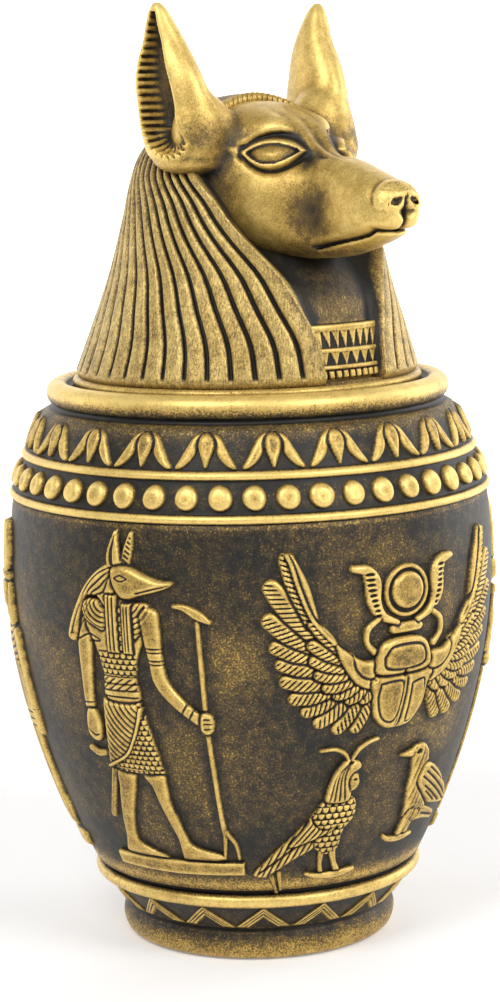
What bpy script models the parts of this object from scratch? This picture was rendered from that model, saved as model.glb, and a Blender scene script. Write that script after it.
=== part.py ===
"""Canopic jar with a jackal head for a lid.

Two cast pieces: a hollow jar with bands and figures in relief, and a lid whose foot drops into
the jar's mouth. Metres, +Z up, the face looks along -Y, and the origin is the middle of the
underside.
"""
import math

import bmesh
import bpy
from mathutils import Vector

MM = 0.001

# Jar, from the ground up
FOOT_RADIUS = 28.9 * MM
FOOT_HEIGHT = 6.5 * MM
FOOT_BULGE = 1.0 * MM
ZIGZAG_HEIGHT = 6.5 * MM
BASE_STEP = 2.2 * MM
BASE_RING_HEIGHT = 3.2 * MM
BASE_RING_DEPTH = 0.5 * MM
BASE_GROOVE = 1.0 * MM
BASE_RADIUS = 35.8 * MM
BODY_HEIGHT = 79.6 * MM
BELLY_RADIUS = 52.1 * MM
BELLY_DROP = 15.6 * MM
BELLY_CURVE = 1.87
SHOULDER_DROP = 0.9 * MM
SHOULDER_CURVE = 1.25
RING_HEIGHT = 1.9 * MM
RING_PROUD = 1.0 * MM
BEAD_RADIUS = 2.55 * MM
BEAD_MARGIN = 0.75 * MM
BEAD_DEPTH = 1.3 * MM
LOTUS_BAND_HEIGHT = 7.8 * MM
NECK_STEP = 0.9 * MM
RIM_RADIUS = 43.3 * MM
RIM_THICKNESS = 5.2 * MM
RIM_GROOVE = 1.2 * MM

# Inside of the jar
WALL = 4.5 * MM
FLOOR = 8.0 * MM
LEDGE_DROP = 1.4 * MM
LEDGE_WIDTH = 5.9 * MM
LIP_HEIGHT = 4.5 * MM

# Ornament
BEAD_COUNT = 46
BEAD_TURN = math.radians(1.5)
LOTUS_COUNT = 22
ZIGZAG_COUNT = 16
ZIGZAG_TURN = math.radians(7.8)
BAND_RELIEF = 0.8 * MM
RELIEF = 1.8 * MM
RELIEF_ROOT = 1.2 * MM
RELIEF_DRAFT = 0.25 * MM
SLICE_ACROSS = 13.0 * MM
SLICE_UP = 24.0 * MM
GROUND_RISE = 6.8 * MM
HEADROOM = 1.8 * MM
PANEL = math.radians(60)

# Lid
SEAT_GAP = 0.3 * MM
FLANGE_CLEARANCE = 0.9 * MM
FLANGE_HEIGHT = 2.5 * MM
SPIGOT_CLEARANCE = 0.5 * MM
SPIGOT_DEPTH = 6.0 * MM
NEMES_SETBACK = 0.6 * MM
STRIPE_COUNT = 43
STRIPE_GROOVE = 0.9 * MM
LAPPET_DEPTH = 1.7 * MM
HEAD_HEIGHT = 77.2 * MM

JAR_SIDES = 2 * ZIGZAG_COUNT

# Heights that follow from the sizes above
ZIGZAG_TOP = FOOT_HEIGHT + ZIGZAG_HEIGHT
WALL_FOOT = ZIGZAG_TOP + BASE_RING_HEIGHT + BASE_GROOVE
SHOULDER = WALL_FOOT + BODY_HEIGHT
BEAD_BAND_FOOT = SHOULDER + RING_HEIGHT
BEAD_BAND_TOP = BEAD_BAND_FOOT + 2 * (BEAD_RADIUS + BEAD_MARGIN)
LOTUS_FOOT = BEAD_BAND_TOP + RING_HEIGHT
LOTUS_TOP = LOTUS_FOOT + LOTUS_BAND_HEIGHT
RIM_MIDDLE = LOTUS_TOP + RIM_GROOVE + RIM_THICKNESS / 2
RIM_TOP = RIM_MIDDLE + RIM_THICKNESS / 2
LEDGE = RIM_TOP - LEDGE_DROP
RIM_TURN = math.asin((LEDGE - RIM_MIDDLE) / (RIM_THICKNESS / 2))
LEDGE_RADIUS = RIM_RADIUS - RIM_THICKNESS / 2 * (1 + math.cos(RIM_TURN))
MOUTH_RADIUS = LEDGE_RADIUS - LEDGE_WIDTH
NECK_RADIUS = RIM_RADIUS + NECK_STEP
FLANGE_FOOT = LEDGE + SEAT_GAP
FLANGE_TOP = FLANGE_FOOT + FLANGE_HEIGHT
FLANGE_RADIUS = LEDGE_RADIUS - FLANGE_CLEARANCE
NEMES_RADIUS = FLANGE_RADIUS - NEMES_SETBACK

# The figures were laid out 71 parts tall and the head 77.4 parts tall
FIGURE_PART = (BODY_HEIGHT - GROUND_RISE - HEADROOM) / 71
HEAD_PART = HEAD_HEIGHT / 77.4
GROUND = WALL_FOOT + GROUND_RISE


def clear_scene():
    for item in list(bpy.data.objects):
        bpy.data.objects.remove(item, do_unlink=True)


def finish(name, colour, roughness, metallic):
    material = bpy.data.materials.new(name)
    material.use_nodes = True
    shader = material.node_tree.nodes["Principled BSDF"]
    shader.inputs["Base Color"].default_value = (*colour, 1.0)
    shader.inputs["Roughness"].default_value = roughness
    shader.inputs["Metallic"].default_value = metallic
    return material


def gilt_resin():
    return finish("gilt_resin", (0.50, 0.36, 0.14), 0.42, 0.75)


def dark_gilt_resin():
    return finish("dark_gilt_resin", (0.16, 0.12, 0.06), 0.50, 0.55)


def around(radius, angle, height):
    """A point on a circle; angle 0 is the front, and it grows towards +X."""
    return Vector((radius * math.sin(angle), -radius * math.cos(angle), height))


def add_object(name, mesh_maker, material):
    mesh = bpy.data.meshes.new(name)
    shape = bmesh.new()
    mesh_maker(shape)
    bmesh.ops.recalc_face_normals(shape, faces=shape.faces)
    shape.to_mesh(mesh)
    shape.free()
    mesh.materials.append(material)
    item = bpy.data.objects.new(name, mesh)
    bpy.context.scene.collection.objects.link(item)
    return item


def helper_shape(parts_name, mesh_maker, material):
    """A hidden helper, for fusing to a piece or cutting out of it."""
    helper = add_object(parts_name, mesh_maker, material)
    helper.hide_render = True
    helper.display_type = "WIRE"
    return helper


def boolean(item, name, operation):
    joint = item.modifiers.new(name, "BOOLEAN")
    joint.operation = operation
    joint.solver = "EXACT"
    return joint


def fuse(item, makers):
    """Fuse hidden helper shapes to a piece, all in one step."""
    together = bpy.data.collections.new(item.name + "_helpers")
    bpy.context.scene.collection.children.link(together)
    for parts_name, mesh_maker in makers:
        together.objects.link(helper_shape(parts_name, mesh_maker, item.data.materials[0]))
    joint = boolean(item, together.name, "UNION")
    joint.operand_type = "COLLECTION"
    joint.collection = together


def cut(item, parts_name, mesh_maker):
    joint = boolean(item, parts_name, "DIFFERENCE")
    joint.object = helper_shape(parts_name, mesh_maker, item.data.materials[0])


def smooth(item):
    item.data.shade_smooth()
    item.data.set_sharp_from_angle(angle=math.radians(35))


def sweep_rings(shape, rings):
    """Skin a list of closed rings; a ring of one point is a tip."""
    loops = [[shape.verts.new(point) for point in ring] for ring in rings]
    for low, high in zip(loops, loops[1:]):
        count = max(len(low), len(high))
        for index in range(count):
            following = (index + 1) % count
            corners = [low[index % len(low)], low[following % len(low)],
                       high[following % len(high)], high[index % len(high)]]
            shape.faces.new(list(dict.fromkeys(corners)))
    for end in (loops[0], loops[-1]):
        if len(end) > 2:
            shape.faces.new(end)


def turned(shape, profile, sides, start=0.0):
    rings = []
    for radius, height in profile:
        if radius == 0:
            rings.append([Vector((0, 0, height))])
        else:
            rings.append([around(radius, start + math.tau * side / sides, height)
                          for side in range(sides)])
    sweep_rings(shape, rings)


# Jar profile

def foot_radius(height):
    """The foot's rounded edge, then the band that flares up to the base ring."""
    if height <= FOOT_HEIGHT:
        return FOOT_RADIUS + FOOT_BULGE * math.sin(math.pi * height / FOOT_HEIGHT)
    share = (height - FOOT_HEIGHT) / ZIGZAG_HEIGHT
    return FOOT_RADIUS + (BASE_RADIUS - BASE_STEP - FOOT_RADIUS) * share


def wall_radius(height):
    belly = SHOULDER - BELLY_DROP
    if height < belly:
        share = (belly - height) / (belly - WALL_FOOT)
        return BELLY_RADIUS - (BELLY_RADIUS - BASE_RADIUS) * share ** BELLY_CURVE
    share = (height - belly) / BELLY_DROP
    return BELLY_RADIUS - SHOULDER_DROP * share ** 2


def shoulder_radius(height):
    share = (height - SHOULDER) / (LOTUS_TOP - SHOULDER)
    shoulder = BELLY_RADIUS - SHOULDER_DROP
    return shoulder - (shoulder - NECK_RADIUS) * max(share, 0) ** SHOULDER_CURVE


def evenly(low, high, steps):
    return [low + (high - low) * step / steps for step in range(steps + 1)]


def ring_profile(foot):
    """A half-round ring round the shoulder."""
    points = []
    for turn in (0.2, 0.8):
        height = foot + RING_HEIGHT * turn
        points.append((shoulder_radius(height) + RING_PROUD * math.sin(math.pi * turn), height))
    return points


def outer_profile():
    points = [(0.0, 0.0)]
    points += [(foot_radius(height), height) for height in evenly(0, FOOT_HEIGHT, 2)]
    points.append((foot_radius(ZIGZAG_TOP), ZIGZAG_TOP))
    ring = BASE_RADIUS - BASE_RING_DEPTH
    points += [(ring, ZIGZAG_TOP + BASE_RING_HEIGHT * 0.4),
               (ring - BASE_RING_DEPTH, ZIGZAG_TOP + BASE_RING_HEIGHT)]
    points += [(wall_radius(level), level) for level in evenly(WALL_FOOT, SHOULDER, 5)]
    points += ring_profile(SHOULDER)
    points += [(shoulder_radius(level), level) for level in (BEAD_BAND_FOOT, BEAD_BAND_TOP)]
    points += ring_profile(BEAD_BAND_TOP)
    points += [(shoulder_radius(level), level) for level in (LOTUS_FOOT, LOTUS_TOP)]
    middle = RIM_RADIUS - RIM_THICKNESS / 2
    for turn in evenly(math.radians(-68), math.pi - RIM_TURN, 3):
        points.append((middle + RIM_THICKNESS / 2 * math.cos(turn),
                       RIM_MIDDLE + RIM_THICKNESS / 2 * math.sin(turn)))
    return points


def inner_profile():
    """From the mouth down to the middle of the floor."""
    ceiling = LEDGE - LIP_HEIGHT
    points = [(MOUTH_RADIUS, LEDGE), (MOUTH_RADIUS, ceiling)]
    points.append((shoulder_radius(ceiling - WALL / 2) - WALL, ceiling - WALL / 2))
    points += [(wall_radius(level) - WALL, level) for level in evenly(SHOULDER, WALL_FOOT, 3)]
    points += [(foot_radius(FLOOR) - WALL, FLOOR), (0.0, FLOOR)]
    return points


def jar_blank(shape):
    turned(shape, outer_profile() + inner_profile(), JAR_SIDES, ZIGZAG_TURN)


# Relief: flat outlines, cut along the wall's facets and bent onto it

def limb(*joints):
    """The outline of a limb from its joints, each (across, up, width)."""
    left, right = [], []
    for index, (across, up, width) in enumerate(joints):
        before = joints[max(index - 1, 0)]
        after = joints[min(index + 1, len(joints) - 1)]
        run = Vector((after[0] - before[0], after[1] - before[1])).normalized()
        side = Vector((-run.y, run.x)) * width / 2
        left.append((across + side.x, up + side.y))
        right.append((across - side.x, up - side.y))
    return left + right[::-1]


def disc(across, up, radius, sides=8):
    return [(across + radius * math.cos(math.tau * side / sides),
             up + radius * math.sin(math.tau * side / sides)) for side in range(sides)]


def box(left, low, right, high):
    return [(left, low), (right, low), (right, high), (left, high)]


def signed_area(outline):
    return sum(a[0] * b[1] - b[0] * a[1] for a, b in zip(outline, outline[1:] + outline[:1])) / 2


def drawn_in(outline, inset):
    """The same outline moved in by a small inset, as a mould's draft."""
    turn = 1 if signed_area(outline) > 0 else -1
    points = []
    for index, point in enumerate(outline):
        before = Vector(outline[index - 1])
        after = Vector(outline[(index + 1) % len(outline)])
        here = Vector(point)
        first = (here - before).normalized()
        second = (after - here).normalized()
        inward = Vector((-first.y - second.y, first.x + second.x)) * turn
        points.append(here + inward.normalized() * inset if inward.length > 0.3 else here)
    return points


def slice_at(piece, axis, value):
    spot = [0, 0, 0]
    way = [0, 0, 0]
    spot[axis] = value
    way[axis] = 1
    everything = piece.verts[:] + piece.edges[:] + piece.faces[:]
    bmesh.ops.bisect_plane(piece, geom=everything, dist=1e-7, plane_co=spot, plane_no=way)


def plate(shape, outline, top, place):
    """A prism over an outline, sliced where it is broad and bent by place(across, up, lift)."""
    piece = bmesh.new()
    root = -RELIEF_ROOT - top / 5
    foot = [piece.verts.new((x, y, root)) for x, y in outline]
    head = [piece.verts.new((p[0], p[1], top)) for p in drawn_in(outline, RELIEF_DRAFT)]
    piece.faces.new(foot)
    piece.faces.new(head)
    for index in range(len(outline)):
        piece.faces.new((foot[index - 1], foot[index], head[index], head[index - 1]))
    for axis, spacing in enumerate((SLICE_ACROSS, SLICE_UP)):
        low = min(point[axis] for point in outline)
        high = max(point[axis] for point in outline)
        steps = round((high - low) / spacing)
        for value in evenly(low, high, max(steps, 1))[1:-1]:
            slice_at(piece, axis, value)
    piece.normal_update()
    bmesh.ops.triangulate(piece, faces=piece.faces)
    for vert in piece.verts:
        vert.co = place(*vert.co)
    keep = bpy.data.meshes.new("plate")
    piece.to_mesh(keep)
    shape.from_mesh(keep)
    bpy.data.meshes.remove(keep)
    piece.free()


def lay_on_wall(shape, centre, outline, height):
    """Set one plate of a figure on the body; outlines are in parts, from the ground line."""

    def place(across, up, lift):
        level = GROUND + up
        return around(wall_radius(level) + lift, centre + across / BELLY_RADIUS, level)

    sized = [(x * FIGURE_PART, y * FIGURE_PART) for x, y in outline]
    plate(shape, sized, height * RELIEF, place)


def extent(outline):
    across = [point[0] for point in outline]
    up = [point[1] for point in outline]
    return min(across), max(across), min(up), max(up)


def apart(first, second):
    a, b = extent(first), extent(second)
    return a[1] < b[0] or b[1] < a[0] or a[3] < b[2] or b[3] < a[2]


def layers(plates):
    """Sort a figure's plates into layers in which none touches another."""
    sorted_plates = []
    for outline, height in plates:
        for layer in sorted_plates:
            if all(apart(outline, other) for other, _ in layer):
                layer.append((outline, height))
                break
        else:
            sorted_plates.append([(outline, height)])
    return sorted_plates


# Figures, in parts: x from the panel's middle, y from the ground line

def striding_legs():
    return [([(-14.6, 21.4), (-9.2, 21.4), (-10.7, 15), (-14.4, 4), (-5.4, 0.9), (-5.4, 0), (-18.3, 0),
              (-17, 6)], 0.72),
            ([(-7.6, 21.2), (-2, 21), (-0.6, 15), (1.6, 4), (10.2, 1.5), (10.2, 0), (-1.4, 0),
              (-1.4, 6)], 0.88)]


def arm_with_staff():
    return [(limb((-1.8, 54.5, 3.8), (-0.4, 41, 3.2), (10, 31.6, 2.8)), 0.92),
            (limb((8.1, 54.6, 1.2), (8.8, 32, 1.2), (10.5, 5, 1.4)), 0.58),
            (limb((3.3, 56.4, 0.9), (10.2, 53.6, 2.2)), 0.62),
            ([(9.6, 0.4), (10.9, 7.4), (14.2, 0.4), (12.9, 0.4), (11, 5), (10.6, 0.4)], 0.50)]


def kilt():
    return [([(-14, 36.6), (-15.4, 20.9), (-1.7, 20.6), (-4, 31), (-5.1, 36.6)], 0.98),
            (limb((-14.5, 20.6, 1.7), (-19.5, 9, 1.5)), 0.50)]


def trunk():
    return [([(-17.2, 52.6), (-12.9, 44), (-12.6, 36.2), (-5.4, 36.2), (-4.9, 45), (-0.4, 53.6),
              (-4, 57.2), (-14.4, 57.4)], 0.90),
            (limb((-16.2, 54.5, 3.8), (-17.4, 34, 2.8), (-17.8, 24.6, 3.2)), 0.84)]


def jackal_profile():
    return [([(-9.5, 64.6), (-15.8, 59.8), (-20.6, 48.4), (-18.6, 48), (-10.9, 57), (-10.9, 46.3),
              (-5, 46.5), (-5.6, 59)], 1.08),
            ([(-9.6, 59.4), (-6.4, 57.6), (3.2, 60.6), (-3.9, 63.8), (-9.4, 64.4)], 1.28),
            ([(-10.3, 62.2), (-7.1, 62.9), (-8.4, 71)], 1.14),
            ([(-6.9, 62.6), (-4.6, 62), (-5.1, 69.8)], 0.98)]


def plinth(left, right):
    return [(box(left, -3.1, right, 0.4), 0.76)]


def jackal_man():
    return (striding_legs() + kilt() + trunk() + arm_with_staff() + jackal_profile()
            + plinth(-22.8, 15.2))


def robed_king():
    """A standing figure in a long robe, with a staff, under a tall crown."""
    return [([(-6, 0.2), (6, 0.2), (4.6, 24), (7.4, 50), (-7.4, 50), (-4.6, 24)], 0.90),
            ([(-5, 46), (5, 46), (3.4, 58.6), (-3.6, 58.6)], 1.06),
            ([(-3.2, 57.6), (3, 57.6), (4.4, 62), (1.6, 71), (-1.4, 71), (-3.6, 64)], 0.86),
            (limb((-11.4, 0.2, 1.3), (-11.4, 55, 1.3)), 0.58),
            (limb((-6.2, 46, 3.2), (-8.4, 38, 2.6), (-12, 36, 2.6)), 1.00)] + plinth(-13.6, 12)


def crowned_robe():
    """A standing figure in a long robe under a crown of two plumes, its arms by its sides."""
    return [([(-6, 0.2), (6, 0.2), (4.6, 22), (9.6, 24), (8.4, 50), (-8.4, 50), (-9.6, 24),
              (-4.6, 22)], 0.90),
            ([(-5, 46), (5, 46), (3.4, 59.6), (-3.4, 59.6)], 1.06),
            ([(-3, 58.6), (3, 58.6), (4.2, 65), (1.8, 71), (0, 68), (-1.8, 71), (-4.2, 65)],
             0.86)] + plinth(-12, 12)


def lotus_sheaf():
    """A tall stem with an open flower and two buds, for the plain back."""
    return [(limb((0, 0.2, 2.2), (0, 44, 1.8)), 0.60),
            ([(-1.6, 42), (1.6, 42), (9, 58), (0, 60), (-9, 58)], 0.90),
            (limb((-1, 4, 1.6), (-8, 22, 1.4), (-9.9, 43, 3.4)), 0.50),
            (limb((1, 4, 1.6), (8, 22, 1.4), (9.9, 43, 3.4)), 0.54)] + plinth(-10, 10)


SCARAB_MIDDLE = -2.0


def cobra(way):
    return (limb(*[(SCARAB_MIDDLE + way * x, y, width) for x, y, width in
                   ((3.4, 52.4, 1.8), (8.2, 55.6, 2.8), (9, 62, 2.8), (12.2, 63.2, 1.5))]),
            0.82 + 0.04 * way)


def beetle_leg(way):
    return (limb(*[(SCARAB_MIDDLE + way * x, y, 1.4) for x, y in
                   ((6.6, 53.6), (8.8, 49), (6.2, 44.4))]), 0.56 + 0.02 * way)


def wing(way):
    """The plain arm of a wing, and its fan of feathers as one toothed outline."""
    arm = limb(*[(SCARAB_MIDDLE + way * x, y, width) for x, y, width in
                 ((7, 41.2, 5.8), (15, 45, 4.6), (21.4, 55, 3.6), (25.4, 66.6, 1.6))])
    feathers = 6
    fan = [(SCARAB_MIDDLE + way * 7.6, 38.4)]
    for feather in range(feathers):
        share = feather / (feathers - 1)
        turn = math.radians(-78 + 116 * share)
        spine = (9.2 + 13.4 * share, 41 + 20 * share ** 1.7)
        length = 11.5 - 5.2 * share ** 2
        for reach, lean in ((1.0, 0), (0.72, math.radians(12))):
            fan.append((SCARAB_MIDDLE + way * (spine[0] + reach * length * math.cos(turn + lean)),
                        spine[1] + reach * length * math.sin(turn + lean)))
    fan += [(SCARAB_MIDDLE + way * 21, 56), (SCARAB_MIDDLE + way * 12, 43)]
    return [(arm, 1.00 + 0.03 * way), (fan, 0.66 + 0.02 * way)]


def winged_scarab():
    middle = SCARAB_MIDDLE
    body = [([(middle - 6.9, 40.2), (middle - 6.6, 34), (middle - 3.4, 29.2), (middle + 3.4, 29.2),
              (middle + 6.6, 34), (middle + 6.9, 40.2)], 1.20),
            ([(middle - 6.4, 39.8), (middle + 6.4, 39.8), (middle + 5.4, 45.6),
              (middle + 2.6, 48), (middle - 2.6, 48), (middle - 5.4, 45.6)], 1.28),
            (box(middle - 2.9, 47.4, middle + 2.9, 52.8), 0.96),
            (disc(middle, 57.4, 5.4, 8), 0.70),
            (disc(middle, 57.4, 3.9, 6), 1.16)]
    for way in (-1, 1):
        body += [cobra(way), beetle_leg(way)] + wing(way)
    return body


def soul_bird():
    """A bird with a human head, a crest of two thin feathers and a long tail."""
    return [([(-11.4, 14.4), (-9.9, 11.6), (-13.4, 1.6), (-17, 0.6), (-22.9, 8), (-19.2, 12.8)], 1.00),
            ([(-20.4, 9.4), (-35, -2.6), (-28.8, -5.6), (-17, 3)], 0.84),
            ([(-18.2, 12.4), (-12, 12.8), (-9.8, 16.6), (-10.2, 21), (-12.6, 23.8), (-15.4, 21.4)],
             1.14),
            ([(-19.7, 25.4), (-15, 25.6), (-13, 24), (-10.6, 25.8), (-6.7, 26.8), (-12.9, 22.6)], 0.56),
            (limb((-17.2, 1.4, 1.5), (-16.9, -3.4, 1.4)), 0.54),
            (limb((-14.4, 2.4, 1.5), (-12, -3.4, 1.4)), 0.58),
            (box(-21.2, -4.7, -6.4, -2.9), 0.70)]


def hawk():
    return [([(0.2, 21.7), (5.9, 23.6), (10, 19), (12.4, 15), (12.4, 4.8), (6.4, 6.4), (3.8, 20.4)],
             1.04),
            ([(7, 16.4), (9.8, 18.8), (24, 8.2), (15.4, 7.2), (9.4, 10.2)], 1.16),
            (limb((11.4, 8.9, 4), (20.6, 4.4, 2.6)), 0.74),
            (limb((8.6, 7, 3.6), (7.4, 1.6, 2.4)), 0.64),
            (limb((1, 2.5, 0.9), (12.6, 1.9, 1.7)), 0.76)]


def panels():
    """The panels round the body: where each is centred, and its plates."""
    return ((0, winged_scarab() + soul_bird() + hawk()),
            (-PANEL, jackal_man()),
            (PANEL, robed_king()),
            (-2 * PANEL, crowned_robe()),
            (2 * PANEL, crowned_robe()),
            (3 * PANEL, lotus_sheaf()))


def figure_layers():
    """The makers of the figures, one for each layer of plates that don't touch."""
    carved = [(centre, layers(plates)) for centre, plates in panels()]

    def layer_maker(level):
        def one_layer(shape):
            for centre, stack in carved:
                for outline, height in stack[level] if level < len(stack) else []:
                    lay_on_wall(shape, centre, outline, height)

        return one_layer

    return [(f"figures_{level + 1}", layer_maker(level))
            for level in range(max(len(stack) for _, stack in carved))]


# Bands

def bead_ring(shape):
    middle = (BEAD_BAND_FOOT + BEAD_BAND_TOP) / 2
    for bead in range(BEAD_COUNT):
        angle = BEAD_TURN + bead * math.tau / BEAD_COUNT
        rings = []
        for size, lift in ((1.12, -0.45), (0.66, 1)):
            rings.append([around(shoulder_radius(middle + y) + lift * BEAD_DEPTH,
                                 angle + x / shoulder_radius(middle), middle + y)
                          for x, y in disc(0, 0, BEAD_RADIUS * size, 6)])
        sweep_rings(shape, rings)


def band_plate(shape, angle, outline, levels, radius_at, spacing, lift=1.0):
    """A band's ornament: outline across in shares of the spacing, up in shares of the band."""
    low, high = levels
    rings = []
    for rise in (-1, lift):
        rings.append([around(radius_at(low + y * (high - low)) + rise * BAND_RELIEF,
                             angle + x * spacing, low + y * (high - low)) for x, y in outline])
    sweep_rings(shape, rings)


def lotus_band(shape):
    levels = (LOTUS_FOOT, LOTUS_TOP)
    spacing = math.tau / LOTUS_COUNT
    bud = [(0, 0.04), (0.12, 0.58), (0, 0.92), (-0.12, 0.58)]
    petal = [(0.47, 0.03), (0.20, 0.34), (0.15, 0.95)]
    for flower in range(LOTUS_COUNT):
        angle = flower * spacing
        band_plate(shape, angle, bud, levels, shoulder_radius, spacing, 1.2)
        for way in (-1, 1):
            side = [(way * x, y) for x, y in petal]
            band_plate(shape, angle, side, levels, shoulder_radius, spacing)


def zigzag_band(shape):
    levels = (FOOT_HEIGHT, ZIGZAG_TOP)
    spacing = math.tau / ZIGZAG_COUNT
    chevron = [(-0.47, 0.10), (-0.33, 0.10), (0, 0.62), (0.33, 0.10), (0.47, 0.10), (0, 0.93)]
    for tooth in range(ZIGZAG_COUNT):
        band_plate(shape, ZIGZAG_TURN + tooth * spacing, chevron, levels, foot_radius, spacing)


def make_jar():
    jar = add_object("jar", jar_blank, dark_gilt_resin())
    bands = [("bead_ring", bead_ring), ("lotus_band", lotus_band), ("zigzag_band", zigzag_band)]
    fuse(jar, bands + figure_layers())
    smooth(jar)
    return jar


# Lid: heights on the head are in parts above the flange

def table(value, rows):
    """Read a smooth quantity from a few (place, amount) rows."""
    for low, high in zip(rows, rows[1:]):
        if value < high[0]:
            break
    share = min(max((value - low[0]) / (high[0] - low[0]), 0), 1)
    return low[1] + (high[1] - low[1]) * share


CLOTH_TOP = 58.2
CLOTH_SHAPE = ((0, 1.0), (8, 0.915), (20, 0.795), (32.4, 0.70), (40.9, 0.645), (48, 0.565),
               (53.5, 0.40), (57, 0.20))
FLUTED_ROWS = 6
CLOTH_FRONT = ((0, 0), (10, 0.065), (16, 0.09), (24, 0.12), (32, 0.15), (44, 0.16), (58, 0.05))
FACE_EDGE = ((0, 11.5), (8, 14.7), (15.6, 19.5), (23.4, 27.5), (30, 38), (37, 51), (43, 60),
             (58, 62))


def cloth_radius(part, angle):
    front = max(math.cos(angle), 0) ** 2.5
    return NEMES_RADIUS * (table(part, CLOTH_SHAPE) + table(part, CLOTH_FRONT) * front)


def cloth_row(part):
    """One ring of the striped cloth, fluted round the back and plain across the throat."""
    edge = math.radians(table(part, FACE_EDGE))
    pitch = (math.tau - 2 * edge) / STRIPE_COUNT
    depth = STRIPE_GROOVE * min(1, (CLOTH_TOP - part) / 14)
    ring = []
    for half in range(2 * STRIPE_COUNT + 1):
        angle = edge + pitch * half / 2
        inset = depth if half % 2 == 0 and 0 < half < 2 * STRIPE_COUNT else 0
        ring.append((cloth_radius(part, angle) - inset, angle))
    for share in (-0.92, -0.5, 0, 0.5, 0.92):
        angle = edge * share
        ring.append((cloth_radius(part, angle) - LAPPET_DEPTH, angle))
    return [around(radius, angle, FLANGE_TOP + part * HEAD_PART) for radius, angle in ring]


def cloth(shape):
    rows = [cloth_row(part) for part, _ in CLOTH_SHAPE[:FLUTED_ROWS]]
    foot = [Vector((p.x * 0.97, p.y * 0.97, FLANGE_TOP - FLANGE_HEIGHT / 2)) for p in rows[0]]
    sweep_rings(shape, [foot] + rows)


def crown(shape):
    """The rounded top of the cloth, between the ears."""
    profile = [(NEMES_RADIUS * (CLOTH_SHAPE[FLUTED_ROWS - 2][1] - 0.05), CLOTH_SHAPE[FLUTED_ROWS - 2][0])]
    profile += [(NEMES_RADIUS * amount, part) for part, amount in CLOTH_SHAPE[FLUTED_ROWS - 1:]]
    profile.append((0, CLOTH_TOP))
    turned(shape, [(radius, FLANGE_TOP + part * HEAD_PART) for radius, part in profile], 24)


def lid_foot(shape):
    spigot = MOUTH_RADIUS - SPIGOT_CLEARANCE
    profile = [(0, FLANGE_FOOT - SPIGOT_DEPTH), (spigot, FLANGE_FOOT - SPIGOT_DEPTH),
               (spigot, FLANGE_FOOT), (FLANGE_RADIUS, FLANGE_FOOT),
               (FLANGE_RADIUS, FLANGE_TOP - FLANGE_HEIGHT * 0.2), (NEMES_RADIUS, FLANGE_TOP),
               (0, FLANGE_TOP)]
    turned(shape, profile, JAR_SIDES, ZIGZAG_TURN)


# Sections of the jackal's head: forward, top, bottom, half-width
HEAD_SECTIONS = ((-6, 56, 20, 12), (4, 57.0, 20, 16), (12, 55.8, 22, 15.6), (18, 53.8, 23.6, 14.4),
                 (22.5, 51.4, 24.4, 12.8), (27, 47.6, 24.8, 10.2), (32, 45.7, 25.0, 8.8),
                 (38, 44.2, 25.8, 7.8), (44, 42.7, 27.0, 7.0), (49, 41.0, 28.6, 6.5),
                 (52.6, 40.0, 30.6, 5.0), (54.4, 38.4, 34.5, 2.6))


def head_point(forward, side, part):
    return Vector((side, -forward, part)) * HEAD_PART + Vector((0, 0, FLANGE_TOP))


def jackal_head(shape):
    rings = []
    for forward, top, bottom, half in HEAD_SECTIONS:
        middle = (top + bottom) / 2
        tall = (top - bottom) / 2
        ring = []
        for corner in range(12):
            turn = math.tau * (corner + 0.5) / 12
            across = half * math.copysign(abs(math.cos(turn)) ** 0.75, math.cos(turn))
            up = tall * math.copysign(abs(math.sin(turn)) ** 0.85, math.sin(turn))
            ring.append(head_point(forward, across, middle + up))
        rings.append(ring)
    sweep_rings(shape, rings)


def nose_pad(shape):
    rings = []
    for forward, size in ((46, 0.8), (50.4, 1.0), (54.2, 0.8), (55.2, 0.4)):
        rings.append([head_point(forward, 6.2 * size * math.cos(turn), 37.6 + 3.6 * size * math.sin(turn))
                      for turn in [math.tau * side / 8 for side in range(8)]])
    sweep_rings(shape, rings)


def eyes(shape):
    """Almond lids that swell from the sides of the brow."""
    for way in (-1, 1):
        rings = []
        for depth, size in ((-2, 1), (1.3, 1), (2.4, 0.55)):
            ring = []
            for corner in range(8):
                turn = math.tau * corner / 8
                along = 6.2 * size * math.cos(turn)
                up = 3.0 * size * math.sin(turn)
                forward = 22 + along * 0.90 + depth * 0.42
                side = 10.2 - along * 0.42 + depth * 0.90
                ring.append(head_point(forward, way * side, 46.2 + up + along * 0.05))
            rings.append(ring)
        sweep_rings(shape, rings)


def mouth_cut(shape):
    """A thin wedge along each side of the muzzle."""
    line = ((30, 26.6), (38, 28.2), (46, 29.2), (56, 30.4))
    for way in (-1, 1):
        rings = []
        for forward, part in line:
            inner = table(forward, [(row[0], row[3]) for row in HEAD_SECTIONS]) - 1.4
            rings.append([head_point(forward, way * inner, part),
                          head_point(forward, way * (inner + 5), part + 1.1),
                          head_point(forward, way * (inner + 5), part - 1.1)])
        sweep_rings(shape, rings)


# Levels of an ear: part above the flange, middle to the side, middle forward, half-width, half-depth
EAR_LEVELS = ((40.5, 16.4, 3.0, 5.0, 4.0), (45, 17.9, 3.4, 8.2, 6.0), (52, 18.6, 2.9, 9.2, 6.7),
              (60, 19.2, 1.9, 7.7, 5.6), (68, 20.2, 0.9, 4.8, 3.8), (73.5, 21.1, 0.3, 2.4, 2.2))
EAR_TIP = (77.4, 21.7, 0.0)
EAR_TURN = math.radians(68)


def ear_ring(way, level, scale, hollow):
    part, side, forward, half, deep = level
    ring = []
    for corner in range(8):
        turn = math.tau * corner / 8
        along = half * scale * math.cos(turn)
        out = deep * scale * math.sin(turn) + hollow
        x = side + along * math.cos(EAR_TURN) + out * math.sin(EAR_TURN)
        y = forward - along * math.sin(EAR_TURN) + out * math.cos(EAR_TURN)
        ring.append(head_point(y, way * x, part))
    return ring


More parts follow.
